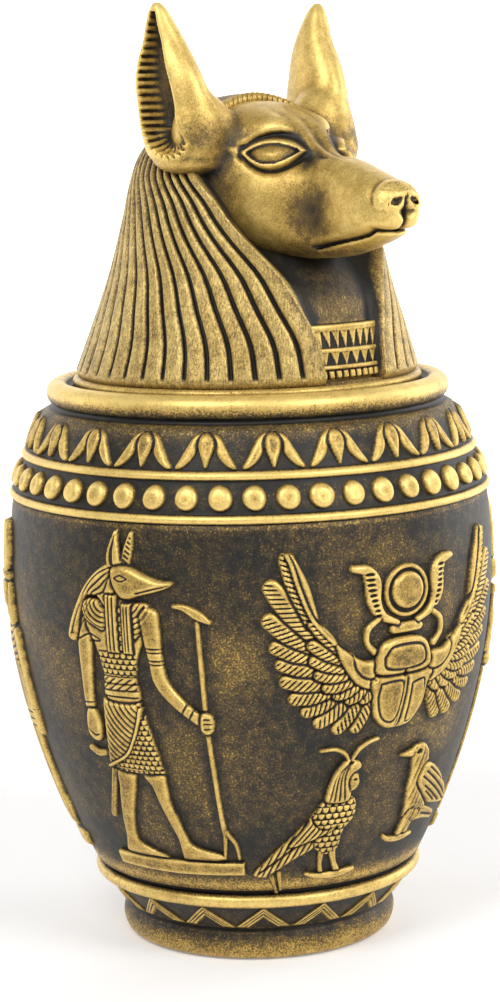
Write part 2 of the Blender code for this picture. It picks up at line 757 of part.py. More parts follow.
def ears(shape):
    for way in (-1, 1):
        rings = [ear_ring(way, level, 1, 0) for level in EAR_LEVELS]
        part, side, forward = EAR_TIP
        sweep_rings(shape, rings + [[head_point(forward, way * side, part)]])


def ear_hollows(shape):
    """The open front of each ear, a smaller cone pushed out of its mouth."""
    for way in (-1, 1):
        levels = EAR_LEVELS[1:]
        rings = [ear_ring(way, level, 0.72, level[4] * 0.62) for level in levels]
        sweep_rings(shape, rings)


def collar(shape):
    """Three bars across the throat with rows of small teeth between them."""
    for low, high in ((0.4, 2.6), (5.0, 6.6), (9.2, 10.8)):
        edge = math.radians(table((low + high) / 2, FACE_EDGE)) * 0.96
        rings = []
        for turn in evenly(-edge, edge, 2):
            outer = cloth_radius((low + high) / 2, turn) - LAPPET_DEPTH + RELIEF * 0.4
            inner = outer - RELIEF
            rings.append([around(radius, turn, FLANGE_TOP + part * HEAD_PART)
                          for radius, part in ((inner, low), (outer, low), (outer, high), (inner, high))])
        sweep_rings(shape, rings)


def make_lid():
    lid = add_object("lid", lid_foot, gilt_resin())
    fuse(lid, [("cloth", cloth), ("crown", crown), ("collar", collar), ("jackal_head", jackal_head),
               ("nose_pad", nose_pad), ("eyes", eyes), ("ears", ears)])
    cut(lid, "ear_hollows", ear_hollows)
    cut(lid, "mouth_cut", mouth_cut)
    smooth(lid)
    return lid


def main():
    clear_scene()
    make_jar()
    make_lid()


main()
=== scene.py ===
"""The looks of a canopic jar: antique gold rubbed over a near-black cast body.

Lengths are in millimetres until a mesh is made. Angles round the jar start at the front, -Y,
and grow towards +X.
"""

import math

import bpy
import numpy as np
from mathutils import Matrix, Vector


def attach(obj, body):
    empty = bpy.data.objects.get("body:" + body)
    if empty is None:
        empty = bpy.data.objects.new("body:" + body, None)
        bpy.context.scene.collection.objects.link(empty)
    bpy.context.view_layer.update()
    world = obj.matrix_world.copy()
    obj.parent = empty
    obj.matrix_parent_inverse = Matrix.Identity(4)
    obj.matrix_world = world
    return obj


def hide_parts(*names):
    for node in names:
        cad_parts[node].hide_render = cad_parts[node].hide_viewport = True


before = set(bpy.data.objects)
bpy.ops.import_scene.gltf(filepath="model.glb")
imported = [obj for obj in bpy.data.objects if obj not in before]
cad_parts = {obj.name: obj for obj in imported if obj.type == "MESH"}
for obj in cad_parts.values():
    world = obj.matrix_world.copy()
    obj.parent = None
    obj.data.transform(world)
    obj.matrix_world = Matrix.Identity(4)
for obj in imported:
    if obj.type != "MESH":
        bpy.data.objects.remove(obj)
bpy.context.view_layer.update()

MM = 0.001
SEED = 7

# Jar, from the ground up
FOOT_RADIUS = 28.9
FOOT_HEIGHT = 6.5
FOOT_BULGE = 1.0
ZIGZAG_HEIGHT = 6.5
BASE_STEP = 2.2
BASE_RING_HEIGHT = 3.2
BASE_GROOVE = 1.0
BASE_RADIUS = 35.8
BODY_HEIGHT = 79.6
BELLY_RADIUS = 52.1
BELLY_DROP = 15.6
BELLY_CURVE = 1.87
SHOULDER_DROP = 0.9
SHOULDER_CURVE = 1.25
RING_HEIGHT = 1.9
RING_PROUD = 1.0
BEAD_RADIUS = 2.55
BEAD_MARGIN = 0.75
BEAD_DEPTH = 1.45
LOTUS_BAND_HEIGHT = 7.8
NECK_STEP = 0.9
RIM_RADIUS = 43.3
RIM_THICKNESS = 5.2
RIM_GROOVE = 1.2
WALL = 4.5
FLOOR = 8.0
LEDGE_DROP = 1.4
LEDGE_WIDTH = 5.9
LIP_HEIGHT = 4.5

# Ornament
BEAD_COUNT = 46
BEAD_TURN = math.radians(1.5)
LOTUS_COUNT = 22
ZIGZAG_COUNT = 16
ZIGZAG_TURN = math.radians(7.8)
BAND_RELIEF = 0.8
BARB_PITCH = 1.2
PLEAT_PITCH = 1.5
BAND_UNEVEN = (0.12, 0.012, 0.02)
PANEL = math.radians(60)
PANEL_RADIUS = 50.0
SKIRT = 0.7
ROOT = 1.1
HALO = 2.2
VESSEL_SIDES = 264
LID_SIDES = 240

# Lid
SEAT_GAP = 0.3
FLANGE_CLEARANCE = 0.9
FLANGE_HEIGHT = 2.5
SPIGOT_CLEARANCE = 0.5
SPIGOT_DEPTH = 6.0
CORD_HALF = 11.0
CORD_RADIUS = 1.4
CORD_PITCH = 1.35
NEMES_SETBACK = 0.6
STRIPE_COUNT = 43
STRIPE_GROOVE = 1.15
LAPPET_DEPTH = 2.4

ZIGZAG_TOP = FOOT_HEIGHT + ZIGZAG_HEIGHT
WALL_FOOT = ZIGZAG_TOP + BASE_RING_HEIGHT + BASE_GROOVE
SHOULDER = WALL_FOOT + BODY_HEIGHT
BEAD_BAND_FOOT = SHOULDER + RING_HEIGHT
BEAD_BAND_TOP = BEAD_BAND_FOOT + 2 * (BEAD_RADIUS + BEAD_MARGIN)
LOTUS_FOOT = BEAD_BAND_TOP + RING_HEIGHT
LOTUS_TOP = LOTUS_FOOT + LOTUS_BAND_HEIGHT
RIM_MIDDLE = LOTUS_TOP + RIM_GROOVE + RIM_THICKNESS / 2
RIM_TOP = RIM_MIDDLE + RIM_THICKNESS / 2
LEDGE = RIM_TOP - LEDGE_DROP
RIM_TURN = math.asin((LEDGE - RIM_MIDDLE) / (RIM_THICKNESS / 2))
LEDGE_RADIUS = RIM_RADIUS - RIM_THICKNESS / 2 * (1 + math.cos(RIM_TURN))
MOUTH_RADIUS = LEDGE_RADIUS - LEDGE_WIDTH
NECK_RADIUS = RIM_RADIUS + NECK_STEP
FLANGE_FOOT = LEDGE + SEAT_GAP
FLANGE_TOP = FLANGE_FOOT + FLANGE_HEIGHT
FLANGE_RADIUS = LEDGE_RADIUS - FLANGE_CLEARANCE
NEMES_RADIUS = FLANGE_RADIUS - NEMES_SETBACK

chance = np.random.default_rng(SEED)


# Meshes

def mesh_from(name, points, faces):
    """A smooth mesh from points in millimetres and arrays of faces, one array for each corner count."""
    mesh = bpy.data.meshes.new(name)
    corners = np.concatenate([group.ravel() for group in faces]).astype(np.int32)
    sizes = np.concatenate([np.full(len(group), group.shape[1]) for group in faces])
    mesh.vertices.add(len(points))
    mesh.vertices.foreach_set("co", (np.asarray(points) * MM).astype(np.float32).ravel())
    mesh.loops.add(len(corners))
    mesh.loops.foreach_set("vertex_index", corners)
    mesh.polygons.add(len(sizes))
    mesh.polygons.foreach_set("loop_start", np.concatenate([[0], np.cumsum(sizes)[:-1]]).astype(np.int32))
    mesh.update(calc_edges=True)
    mesh.validate()
    mesh.shade_smooth()
    return mesh


def read(collection, key, width):
    values = np.empty(len(collection) * width, np.float32)
    collection.foreach_get(key, values)
    return values.reshape(-1, width)


def neighbours_mean(values, edges, rounds):
    """Values spread along a mesh's edges, round by round."""
    first, second = edges.T
    count = len(values)
    ties = np.bincount(first, minlength=count) + np.bincount(second, minlength=count)
    for _ in range(rounds):
        for column in range(values.shape[1]):
            own = values[:, column]
            near = np.bincount(first, own[second], count) + np.bincount(second, own[first], count)
            values[:, column] = (own + near / ties) / 2
    return values


def hollowness(mesh, rounds):
    """How far each point stands out of its neighbourhood, in millimetres; hollows are negative."""
    edges = np.empty(len(mesh.edges) * 2, np.int32)
    mesh.edges.foreach_get("vertices", edges)
    points = read(mesh.vertices, "co", 3).astype(float) / MM
    normals = read(mesh.vertex_normals, "vector", 3)
    even = neighbours_mean(points.copy(), edges.reshape(-1, 2), rounds)
    return ((points - even) * normals).sum(1)


def piece(name, points, faces, material, node, gold_and_shade):
    """An object that stands for a node. Its last argument is how much gold each point holds before wear,
    lowered where shade is painted in.
    """
    mesh = mesh_from(name, points, faces)
    amounts = {"ridge": hollowness(mesh, 4), "swell": hollowness(mesh, 24), "gold_and_shade": gold_and_shade}
    for key, values in amounts.items():
        layer = mesh.attributes.new(key, "FLOAT", "POINT")
        layer.data.foreach_set("value", np.asarray(values, np.float32))
    mesh.materials.append(material)
    item = bpy.data.objects.new(name, mesh)
    bpy.context.scene.collection.objects.link(item)
    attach(item, "root")
    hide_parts(node)


def grid_faces(rows, columns, wrap=False):
    """Quads of a grid of points stored row by row."""
    across = columns if wrap else columns - 1
    row, column = np.meshgrid(np.arange(rows - 1), np.arange(across), indexing="ij")
    following = (column + 1) % columns
    low = row * columns
    high = (row + 1) * columns
    return np.stack([low + column, low + following, high + following, high + column], -1).reshape(-1, 4)


def around(radius, angle, height):
    return np.stack(np.broadcast_arrays(radius * np.sin(angle), -radius * np.cos(angle), height), -1)


def smooth_step(value, low, high):
    share = np.clip((value - low) / (high - low), 0, 1)
    return share * share * (3 - 2 * share)


def curve(points, closed=False, steps=5):
    """A smooth run through points of any number of coordinates."""
    spots = np.asarray(points, float)
    final = spots[-1:]
    if closed:
        before, after, last = np.roll(spots, 1, 0), np.roll(spots, -1, 0), np.roll(spots, -2, 0)
    else:
        padded = np.concatenate([[2 * spots[0] - spots[1]], spots, [2 * spots[-1] - spots[-2]]])
        before, spots, after, last = padded[:-3], padded[1:-2], padded[2:-1], padded[3:]
    runs = []
    for step in range(steps):
        t = step / steps
        runs.append(0.5 * (2 * spots + (after - before) * t
                           + (2 * before - 5 * spots + 4 * after - last) * t ** 2
                           + (3 * spots - before - 3 * after + last) * t ** 3))
    run = np.stack(runs, 1).reshape(-1, spots.shape[1])
    if not closed:
        run = np.concatenate([run, final])
    return run


def eased(value, rows):
    """Read a smooth quantity from a few (place, amount) rows."""
    places, amounts = np.array(rows, float).T
    slopes = np.gradient(amounts, places)
    value = np.clip(value, places[0], places[-1])
    index = np.clip(np.searchsorted(places, value) - 1, 0, len(places) - 2)
    gap = places[index + 1] - places[index]
    t = (value - places[index]) / gap
    low, high = amounts[index], amounts[index + 1]
    start, end = slopes[index] * gap, slopes[index + 1] * gap
    return (low * (2 * t ** 3 - 3 * t ** 2 + 1) + start * (t ** 3 - 2 * t ** 2 + t)
            + high * (3 * t ** 2 - 2 * t ** 3) + end * (t ** 3 - t ** 2))


# Jar profile

def foot_radius(height):
    rounded = FOOT_RADIUS + FOOT_BULGE * np.sin(np.pi * np.clip(height / FOOT_HEIGHT, 0, 1))
    share = (height - FOOT_HEIGHT) / ZIGZAG_HEIGHT
    flared = FOOT_RADIUS + (BASE_RADIUS - BASE_STEP - FOOT_RADIUS) * share
    return np.where(height <= FOOT_HEIGHT, rounded, flared)


def wall_radius(height):
    belly = SHOULDER - BELLY_DROP
    below = np.clip((belly - height) / (belly - WALL_FOOT), 0, None)
    above = np.clip((height - belly) / BELLY_DROP, 0, None)
    return BELLY_RADIUS - (BELLY_RADIUS - BASE_RADIUS) * below ** BELLY_CURVE - SHOULDER_DROP * above ** 2


def shoulder_radius(height):
    share = np.clip((height - SHOULDER) / (LOTUS_TOP - SHOULDER), 0, None)
    shoulder = BELLY_RADIUS - SHOULDER_DROP
    return shoulder - (shoulder - NECK_RADIUS) * share ** SHOULDER_CURVE


def lathe_faces(rows, columns):
    """Faces of a turned shape whose first and last points lie on the axis."""
    ring = np.arange(columns)
    following = (ring + 1) % columns
    last = rows * columns
    bottom = np.stack([np.full(columns, last), following, ring], -1)
    top = np.stack([np.full(columns, last + 1), (rows - 1) * columns + ring,
                    (rows - 1) * columns + following], -1)
    return [grid_faces(rows, columns, wrap=True), bottom, top]


def turned_points(profile, columns, start, end):
    """Points of a turned shape, ring by ring, and the two ends on the axis."""
    radii, heights = np.array(profile).T
    angles = np.arange(columns) * math.tau / columns
    rings = around(radii[:, None], angles[None, :], heights[:, None]).reshape(-1, 3)
    return np.concatenate([rings, [[0, 0, start], [0, 0, end]]])


def half_round(foot, height, radius_at, proud, steps=8):
    """A half-round ring standing out of the shoulder."""
    turns = np.linspace(0, np.pi, steps)
    heights = foot + height * (1 - np.cos(turns)) / 2
    return [(radius_at(level) + proud * math.sin(turn) - 0.12, level)
            for turn, level in zip(turns, heights)]


def span(low, high, steps, radius_at, inset=0.0):
    return [(float(radius_at(level)) - inset, level) for level in np.linspace(low, high, steps)]


def vessel_profile():
    """Outside from the underside up to the ledge, then inside down to the floor."""
    points = [(8.0, 0.35), (FOOT_RADIUS - 2.4, 0.35), (FOOT_RADIUS - 1.6, 0.0),
        (FOOT_RADIUS - 0.7, 0.0)]
    points += [(float(foot_radius(level)) - 0.5 * max(0, 1 - level / 0.9) ** 2, level)
               for level in np.linspace(0.25, FOOT_HEIGHT - 0.5, 14)]
    points += [(FOOT_RADIUS - 0.3, FOOT_HEIGHT - 0.15), (FOOT_RADIUS - 0.35, FOOT_HEIGHT + 0.15)]
    points += span(FOOT_HEIGHT + 0.4, ZIGZAG_TOP - 0.3, 12, foot_radius)
    middle = ZIGZAG_TOP + 1.4
    for turn in np.linspace(-1.75, 1.85, 10):
        points.append((BASE_RADIUS - 1.6 + 1.55 * math.cos(turn), middle + 1.5 * math.sin(turn)))
    points.append((BASE_RADIUS - 1.9, WALL_FOOT - 0.5))
    points += span(WALL_FOOT, SHOULDER - 0.25, 80, wall_radius)
    points.append((float(wall_radius(SHOULDER)) - 0.35, SHOULDER))
    points += half_round(SHOULDER + 0.1, RING_HEIGHT, shoulder_radius, RING_PROUD)
    points += span(BEAD_BAND_FOOT + 0.3, BEAD_BAND_TOP - 0.1, 10, shoulder_radius, 0.15)
    points += half_round(BEAD_BAND_TOP, RING_HEIGHT, shoulder_radius, RING_PROUD)
    points += span(LOTUS_FOOT + 0.2, LOTUS_TOP - 0.2, 12, shoulder_radius, 0.1)
    points.append((NECK_RADIUS - 1.5, LOTUS_TOP + RIM_GROOVE * 0.5))
    tube = RIM_RADIUS - RIM_THICKNESS / 2
    for turn in np.linspace(math.radians(-75), math.pi - RIM_TURN, 22):
        points.append((tube + RIM_THICKNESS / 2 * math.cos(turn),
                       RIM_MIDDLE + RIM_THICKNESS / 2 * math.sin(turn)))
    ceiling = LEDGE - LIP_HEIGHT
    points += [(MOUTH_RADIUS + 0.3, LEDGE), (MOUTH_RADIUS, LEDGE - 0.3), (MOUTH_RADIUS, ceiling + 0.3),
               (MOUTH_RADIUS + 0.3, ceiling)]
    points.append((float(shoulder_radius(ceiling - WALL / 2)) - WALL, ceiling - WALL / 2))
    points += [(radius - WALL, level) for radius, level in span(SHOULDER, WALL_FOOT, 30, wall_radius)]
    floor_radius = float(foot_radius(FLOOR)) - WALL
    return points + [(floor_radius, FLOOR + 1.2), (floor_radius - 1.6, FLOOR), (6.0, FLOOR)]


# Relief: heights over a flat panel, bent onto the jar afterwards

class Shape:
    """A flat form: its points give the extent, and depth(u, v) is how far inside it a place lies."""

    def __init__(self, points, depth):
        self.low = np.min(points, 0)
        self.high = np.max(points, 0)
        self.depth = depth


def off_segment(u, v, start, end):
    """How far along a segment the nearest spot lies, from 0 to 1, and the distance to it."""
    run = end[:2] - start[:2]
    share = ((u - start[0]) * run[0] + (v - start[1]) * run[1]) / max(run @ run, 1e-9)
    share = np.clip(share, 0, 1)
    return share, np.hypot(u - start[0] - share * run[0], v - start[1] - share * run[1])


def path_distance(u, v, path):
    """Distance to a path."""
    best = np.full(u.shape, 1e9)
    for start, end in zip(path[:-1], path[1:]):
        best = np.minimum(best, off_segment(u, v, start, end)[1])
    return best


def outline(points, soft=True):
    """A closed form through points, smooth or with straight edges."""
    path = curve(points, closed=True) if soft else np.asarray(points, float)
    ring = np.concatenate([path, path[:1]])

    def depth(u, v):
        gap = path_distance(u, v, ring)
        inside = np.zeros(u.shape, bool)
        for (ax, ay), (bx, by) in zip(ring[:-1], ring[1:]):
            if ay != by:
                inside ^= ((ay > v) != (by > v)) & (u < (bx - ax) * (v - ay) / (by - ay) + ax)
        return np.where(inside, gap, -gap)

    return Shape(ring, depth)


def limb(*joints):
    """A rounded run through joints, each (across, up, width)."""
    path = curve(joints) if len(joints) > 2 else np.asarray(joints, float)
    wide = path[:, 2].max() / 2

    def depth(u, v):
        best = np.full(u.shape, -1e9)
        for start, end in zip(path[:-1], path[1:]):
            share, gap = off_segment(u, v, start, end)
            best = np.maximum(best, (start[2] + (end[2] - start[2]) * share) / 2 - gap)
        return best

    return Shape(np.concatenate([path[:, :2] - wide, path[:, :2] + wide]), depth)


def disc(across, up, radius, tall=None):
    tall = radius if tall is None else tall

    def depth(u, v):
        return (1 - np.hypot((u - across) / radius, (v - up) / tall)) * min(radius, tall)

    return Shape([(across - radius, up - tall), (across + radius, up + tall)], depth)


def box(left, low, right, high, corner=0.3):
    def depth(u, v):
        x = np.abs(u - (left + right) / 2) - (right - left) / 2 + corner
        y = np.abs(v - (low + high) / 2) - (high - low) / 2 + corner
        return corner - np.hypot(np.maximum(x, 0), np.maximum(y, 0)) - np.minimum(np.maximum(x, y), 0)

    return Shape([(left, low), (right, high)], depth)


class Relief:
    """Heights over a panel, across from its middle and up from the ground under the jar."""

    def __init__(self, left, low, right, high, step):
        self.step = step
        self.across = np.arange(left, right, step)
        self.up = np.arange(low, high, step)
        self.u, self.v = np.meshgrid(self.across, self.up)
        self.height = np.full(self.u.shape, -9.0)

    def window(self, shape, pad=1.2):
        left, right = np.searchsorted(self.across, (shape.low[0] - pad, shape.high[0] + pad))
        low, high = np.searchsorted(self.up, (shape.low[1] - pad, shape.high[1] + pad))
        return np.s_[low:high, left:right]

    def add(self, shape, height, edge=0.8, crease=0.35, dome=0.0):
        """Lay a pillow over the panel. What lies under it is creased along its outline."""
        area = self.window(shape)
        deep = shape.depth(self.u[area], self.v[area])
        below = self.height[area]
        crease_here = crease * np.exp(-(deep / 0.4) ** 2) * (below > 0)
        below = np.maximum(below - crease_here, np.where(below > 0, 0.15, below))
        round_off = np.sqrt(1 - (1 - np.clip(deep / edge, 0, 1)) ** 2)
        swell = dome * smooth_step(deep, 0, 3 * edge)
        raised = np.where(deep > 0, height * (0.35 + 0.65 * round_off) + swell, height * 0.35 + deep * 2.6)
        self.height[area] = np.maximum(below, raised)
        return shape

    def form(self, points, *size, soft=True, dome=0.0):
        """A pillow with this outline; size is its height, edge and crease."""
        return self.add(outline(points, soft), *size, dome=dome)

    def bar(self, joints, *size, dome=0.0):
        """A rounded run through joints, each (across, up, width)."""
        return self.add(limb(*joints), *size, dome=dome)

    def carve(self, shape, depth, edge=0.3):
        area = self.window(shape)
        deep = shape.depth(self.u[area], self.v[area])
        below = self.height[area]
        cut = depth * smooth_step(deep, -edge, edge)
        self.height[area] = np.where(below > 0, np.maximum(below - cut, 0.1), below)

    def line(self, points, depth=0.35, width=0.45):
        """A groove along a run of points."""
        spots = np.asarray(points, float)
        path = curve(spots) if len(spots) > 2 else spots
        shape = Shape(path[:, :2], lambda u, v: width / 2 - path_distance(u, v, path))
        self.carve(shape, depth, width / 2)

    def pattern(self, shape, texture, depth, inset=0.25):
        """Grooves inside a form; texture(u, v) runs from 0, untouched, to 1, deepest."""
        area = self.window(shape, 0)
        u, v = self.u[area], self.v[area]
        cut = depth * texture(u, v) * smooth_step(shape.depth(u, v), 0, inset)
        below = self.height[area]
        self.height[area] = np.where(below > 0, np.maximum(below - cut, 0.1), below)

    def mesh_parts(self, place):
        """Points, faces and heights of the closed shell of what stands out of the wall."""
        height = self.height
        kept = height > -SKIRT
        cells = kept[:-1, :-1] | kept[1:, :-1] | kept[:-1, 1:] | kept[1:, 1:]
        for _ in range(6):
            falling = cells[:-1, :-1] & cells[1:, 1:] & ~cells[1:, :-1] & ~cells[:-1, 1:]
            rising = cells[1:, :-1] & cells[:-1, 1:] & ~cells[:-1, :-1] & ~cells[1:, 1:]
            cells[1:, :-1] |= falling
            cells[:-1, :-1] |= rising
        rows, columns = height.shape
        row, column = np.nonzero(cells)
        first = row * columns + column
        quads = np.stack([first, first + 1, first + columns + 1, first + columns], -1)
        used = np.unique(quads)
        order = np.full(rows * columns, -1)
        order[used] = np.arange(len(used))
        top = order[quads]
        count = len(used)
        under = top[:, ::-1] + count
        sides = []
        padded = np.pad(cells, 1)
        for way, (start, end) in {(-1, 0): (0, 1), (1, 0): (2, 3), (0, -1): (3, 0), (0, 1): (1, 2)}.items():
            missing = ~padded[1 + row + way[0], 1 + column + way[1]]
            a, b = top[missing, start], top[missing, end]
            sides.append(np.stack([b, a, a + count, b + count], -1))
        u, v = self.u.ravel()[used], self.v.ravel()[used]
        h = np.maximum(height.ravel()[used], -SKIRT)
        points = np.concatenate([place(u, v, h), place(u, v, np.full(count, -ROOT))])
        return points, [np.concatenate([top, under] + sides)], np.concatenate([h, np.full(count, -ROOT)])


def on_body(centre):
    def place(u, v, h):
        return around(wall_radius(v) + h, centre + u / PANEL_RADIUS, v)

    return place


def lines_texture(angle, spacing, sharp=2.0):
    """Parallel grooves that run at an angle, counted from across."""
    c, s = math.cos(math.radians(angle)), math.sin(math.radians(angle))
    return lambda u, v: (0.5 + 0.5 * np.cos(math.tau * (v * c - u * s) / spacing)) ** sharp


def scales_texture(spacing, rise):
    """Rows of rounded scales, each with a pit under its tip."""

    def texture(u, v):
        row = np.floor(v / rise)
        x = (u / spacing + 0.5 * (row % 2)) % 1 - 0.5
        y = v / rise - row
        return smooth_step(np.hypot(x * 1.7, (1 - y) * 0.9), 0.62, 0.86)

    return texture


def flipped(way, points, middle=0.0):
    """Points counted from a middle line, on its right (way 1) or mirrored to its left (way -1)."""
    return [(middle + way * across, *rest) for across, *rest in points]


def both_sides(points):
    """A whole outline from its one half, which runs from the middle line or across it."""
    return [*points, *((-across, up) for across, up in reversed(points) if across)]


def feather(relief, root, tip, width, height, lean=1, barbs=0.55):
    """A round-ended feather with slanting barbs along one side."""
    root, tip = np.array(root, float), np.array(tip, float)
    run = tip - root
    length = np.hypot(*run)
    run = run / length
    end = tip - run * width * 0.30
    form = limb((*root, width * 0.75), (*(root * 0.45 + end * 0.55), width * 1.08), (*end, width * 0.80))
    relief.add(form, height, 0.7, crease=0.75)

    def texture(u, v):
        along = (u - root[0]) * run[0] + (v - root[1]) * run[1]
        side = ((u - root[0]) * -run[1] + (v - root[1]) * run[0]) * lean
        stroke = smooth_step(np.cos(math.tau * (along + side * 0.8) / BARB_PITCH), 0.15, 1.0)
        return stroke * smooth_step(side, width * 0.22, -width * 0.02)

    relief.pattern(form, texture, barbs, 0.3)


# Front panel: winged scarab over two birds

SCARAB = -1.9
SUN_HEIGHT = 81.4


def scarab_body(relief):
    middle = SCARAB - 0.7

    def placed(points):
        return flipped(1, points, middle)

    relief.form(placed([(-6.6, 64.4), (-6.9, 60), (-6.2, 56), (-3.4, 53.1), (0, 52.6), (3.4, 53.3),
        (6.1, 56.6), (6.9, 60.6), (6.9, 64.4)]), 1.75, 1.6, 0.6, dome=0.25)
    relief.line(placed([(1.2, 64.2), (0.9, 60), (-0.2, 53)]), 0.55, 0.6)
    relief.line(placed([(0.5, 64.0), (0.1, 60), (-0.9, 53.2)]), 0.35, 0.4)
    left_case = [(-5.3, 62.6), (-5.7, 59.5), (-4.8, 55.8), (-2.9, 54.2), (-1.2, 54.8), (-0.2, 58.6),
        (0.0, 62.4), (-2.4, 62.9)]
    right_case = [(2.3, 61.9), (4.4, 62.4), (5.6, 62.1), (5.9, 59), (5.0, 55.9), (3.2, 54.0),
        (1.6, 53.9), (1.9, 57.6)]
    for case in (left_case, right_case):
        relief.line(placed(case + case[:1]), 0.42, 0.5)
    relief.form(placed([(-6.5, 64.9), (-6.2, 69.3), (-3.6, 71.8), (3.2, 71.8), (6.2, 69.4), (6.6, 64.9),
        (0, 64.2)]), 2.0, 1.2, 0.9, dome=0.15)
    inset = [(-4.9, 68.2), (-4.3, 65.9), (0, 65.2), (4.5, 65.8), (5.0, 68.2), (3.2, 70.2), (-2.8, 70.3)]
    relief.line(placed(inset + inset[:1]), 0.55, 0.6)
    relief.line(placed([(0.6, 64.6), (0.6, 64.0)]), 0.9, 0.9)


def sun_and_cobras(relief):
    relief.add(disc(SCARAB, SUN_HEIGHT, 5.5), 1.0, 0.7)
    relief.carve(disc(SCARAB, SUN_HEIGHT, 4.55), 0.75, 0.25)
    relief.add(disc(SCARAB, 81.5, 3.85), 1.55, 1.0, crease=0.2, dome=0.2)
    relief.bar([(SCARAB - 3.1, 73.9, 2.3), (SCARAB + 2.6, 73.9, 2.3)], 1.45, 0.7)
    for way in (-1, 1):
        base = SCARAB + way * 0.4
        relief.bar(flipped(way, [(2.2, 75.1, 1.3), (5.6, 76.9, 1.9), (7.4, 80, 3.0), (7.6, 84, 3.5),
            (9.0, 86.4, 2.3), (11.6, 87.0, 1.5)], base), 1.5, 0.9, 0.5)
        for share in np.linspace(0, 1, 9):
            height = 77.0 + 8.6 * share
            centre = base + way * (6.5 + 1.9 * math.sin(share * 1.5))
            relief.carve(disc(centre, height, 0.95 * (0.55 + 0.45 * share), 0.34), 0.75, 0.16)
        relief.bar(flipped(way, [(6.4, 76.2, 1.1), (8.6, 74.4, 1.2), (8.8, 71.6, 1.1),
            (7.0, 69.4, 1.5)], base), 1.15, 0.5)


# Tip, root and width of each feather, across from the scarab and up from the ground
WING_FEATHERS = (
    ((25.6, 90.8), (20.6, 77.0), 4.0), ((29.0, 85.2), (20.6, 74.4), 4.5),
    ((29.6, 78.2), (20.3, 71.8), 4.4), ((28.5, 72.4), (19.8, 69.4), 3.7),
    ((27.4, 68.7), (19.0, 66.6), 3.4), ((26.6, 65.0), (18.2, 63.8), 3.6),
    ((24.8, 61.0), (16.8, 62.2), 3.7), ((22.2, 57.9), (15.2, 61.2), 3.7),
    ((19.4, 55.1), (13.0, 60.2), 3.8), ((15.2, 53.2), (10.6, 59.8), 3.7),
    ((11.0, 52.9), (8.2, 60.0), 3.5),
)
WING_COVERTS = (
    ((20.9, 77.0), (15.4, 70.8), 2.5), ((21.2, 72.6), (14.8, 68.7), 3.0),
    ((20.9, 69.2), (14.5, 66.9), 3.0), ((19.9, 65.9), (13.9, 65.3), 3.0),
    ((18.2, 63.0), (12.8, 63.8), 3.0), ((15.9, 61.0), (11.4, 62.8), 3.0),
    ((13.2, 59.6), (9.8, 62.0), 2.9), ((10.0, 59.2), (7.8, 61.6), 2.7),
)
WING_BAND = (
    (6.4, 67.4), (9.8, 68.0), (12.6, 69.6), (15.7, 71.9), (15.3, 69.2), (13.7, 66.2), (11.6, 63.4),
    (8.6, 61.8), (6.4, 61.6),
)


def wing(relief, way):
    def mirrored(points):
        return flipped(way, points, SCARAB)

    for tier, height in ((WING_FEATHERS, 1.15), (WING_COVERTS, 1.55)):
        for tip, root, width in reversed(tier):
            feather(relief, *mirrored((root, tip)), width, height, way)
    relief.bar(mirrored([(12.2, 69.2, 0.95), (15.7, 71.8, 0.95), (20.3, 77.2, 0.95), (22.8, 83.2, 0.95),
        (24.3, 88.4, 0.95), (25.2, 90.6, 0.95)]), 1.5, 0.5, 0.4)
    relief.form(mirrored(WING_BAND), 1.85, 0.9, 0.6)
    relief.line(mirrored([(12.4, 69.4), (11.8, 66.6), (10.0, 64.6), (7.4, 63.8)]), 0.5, 0.5)


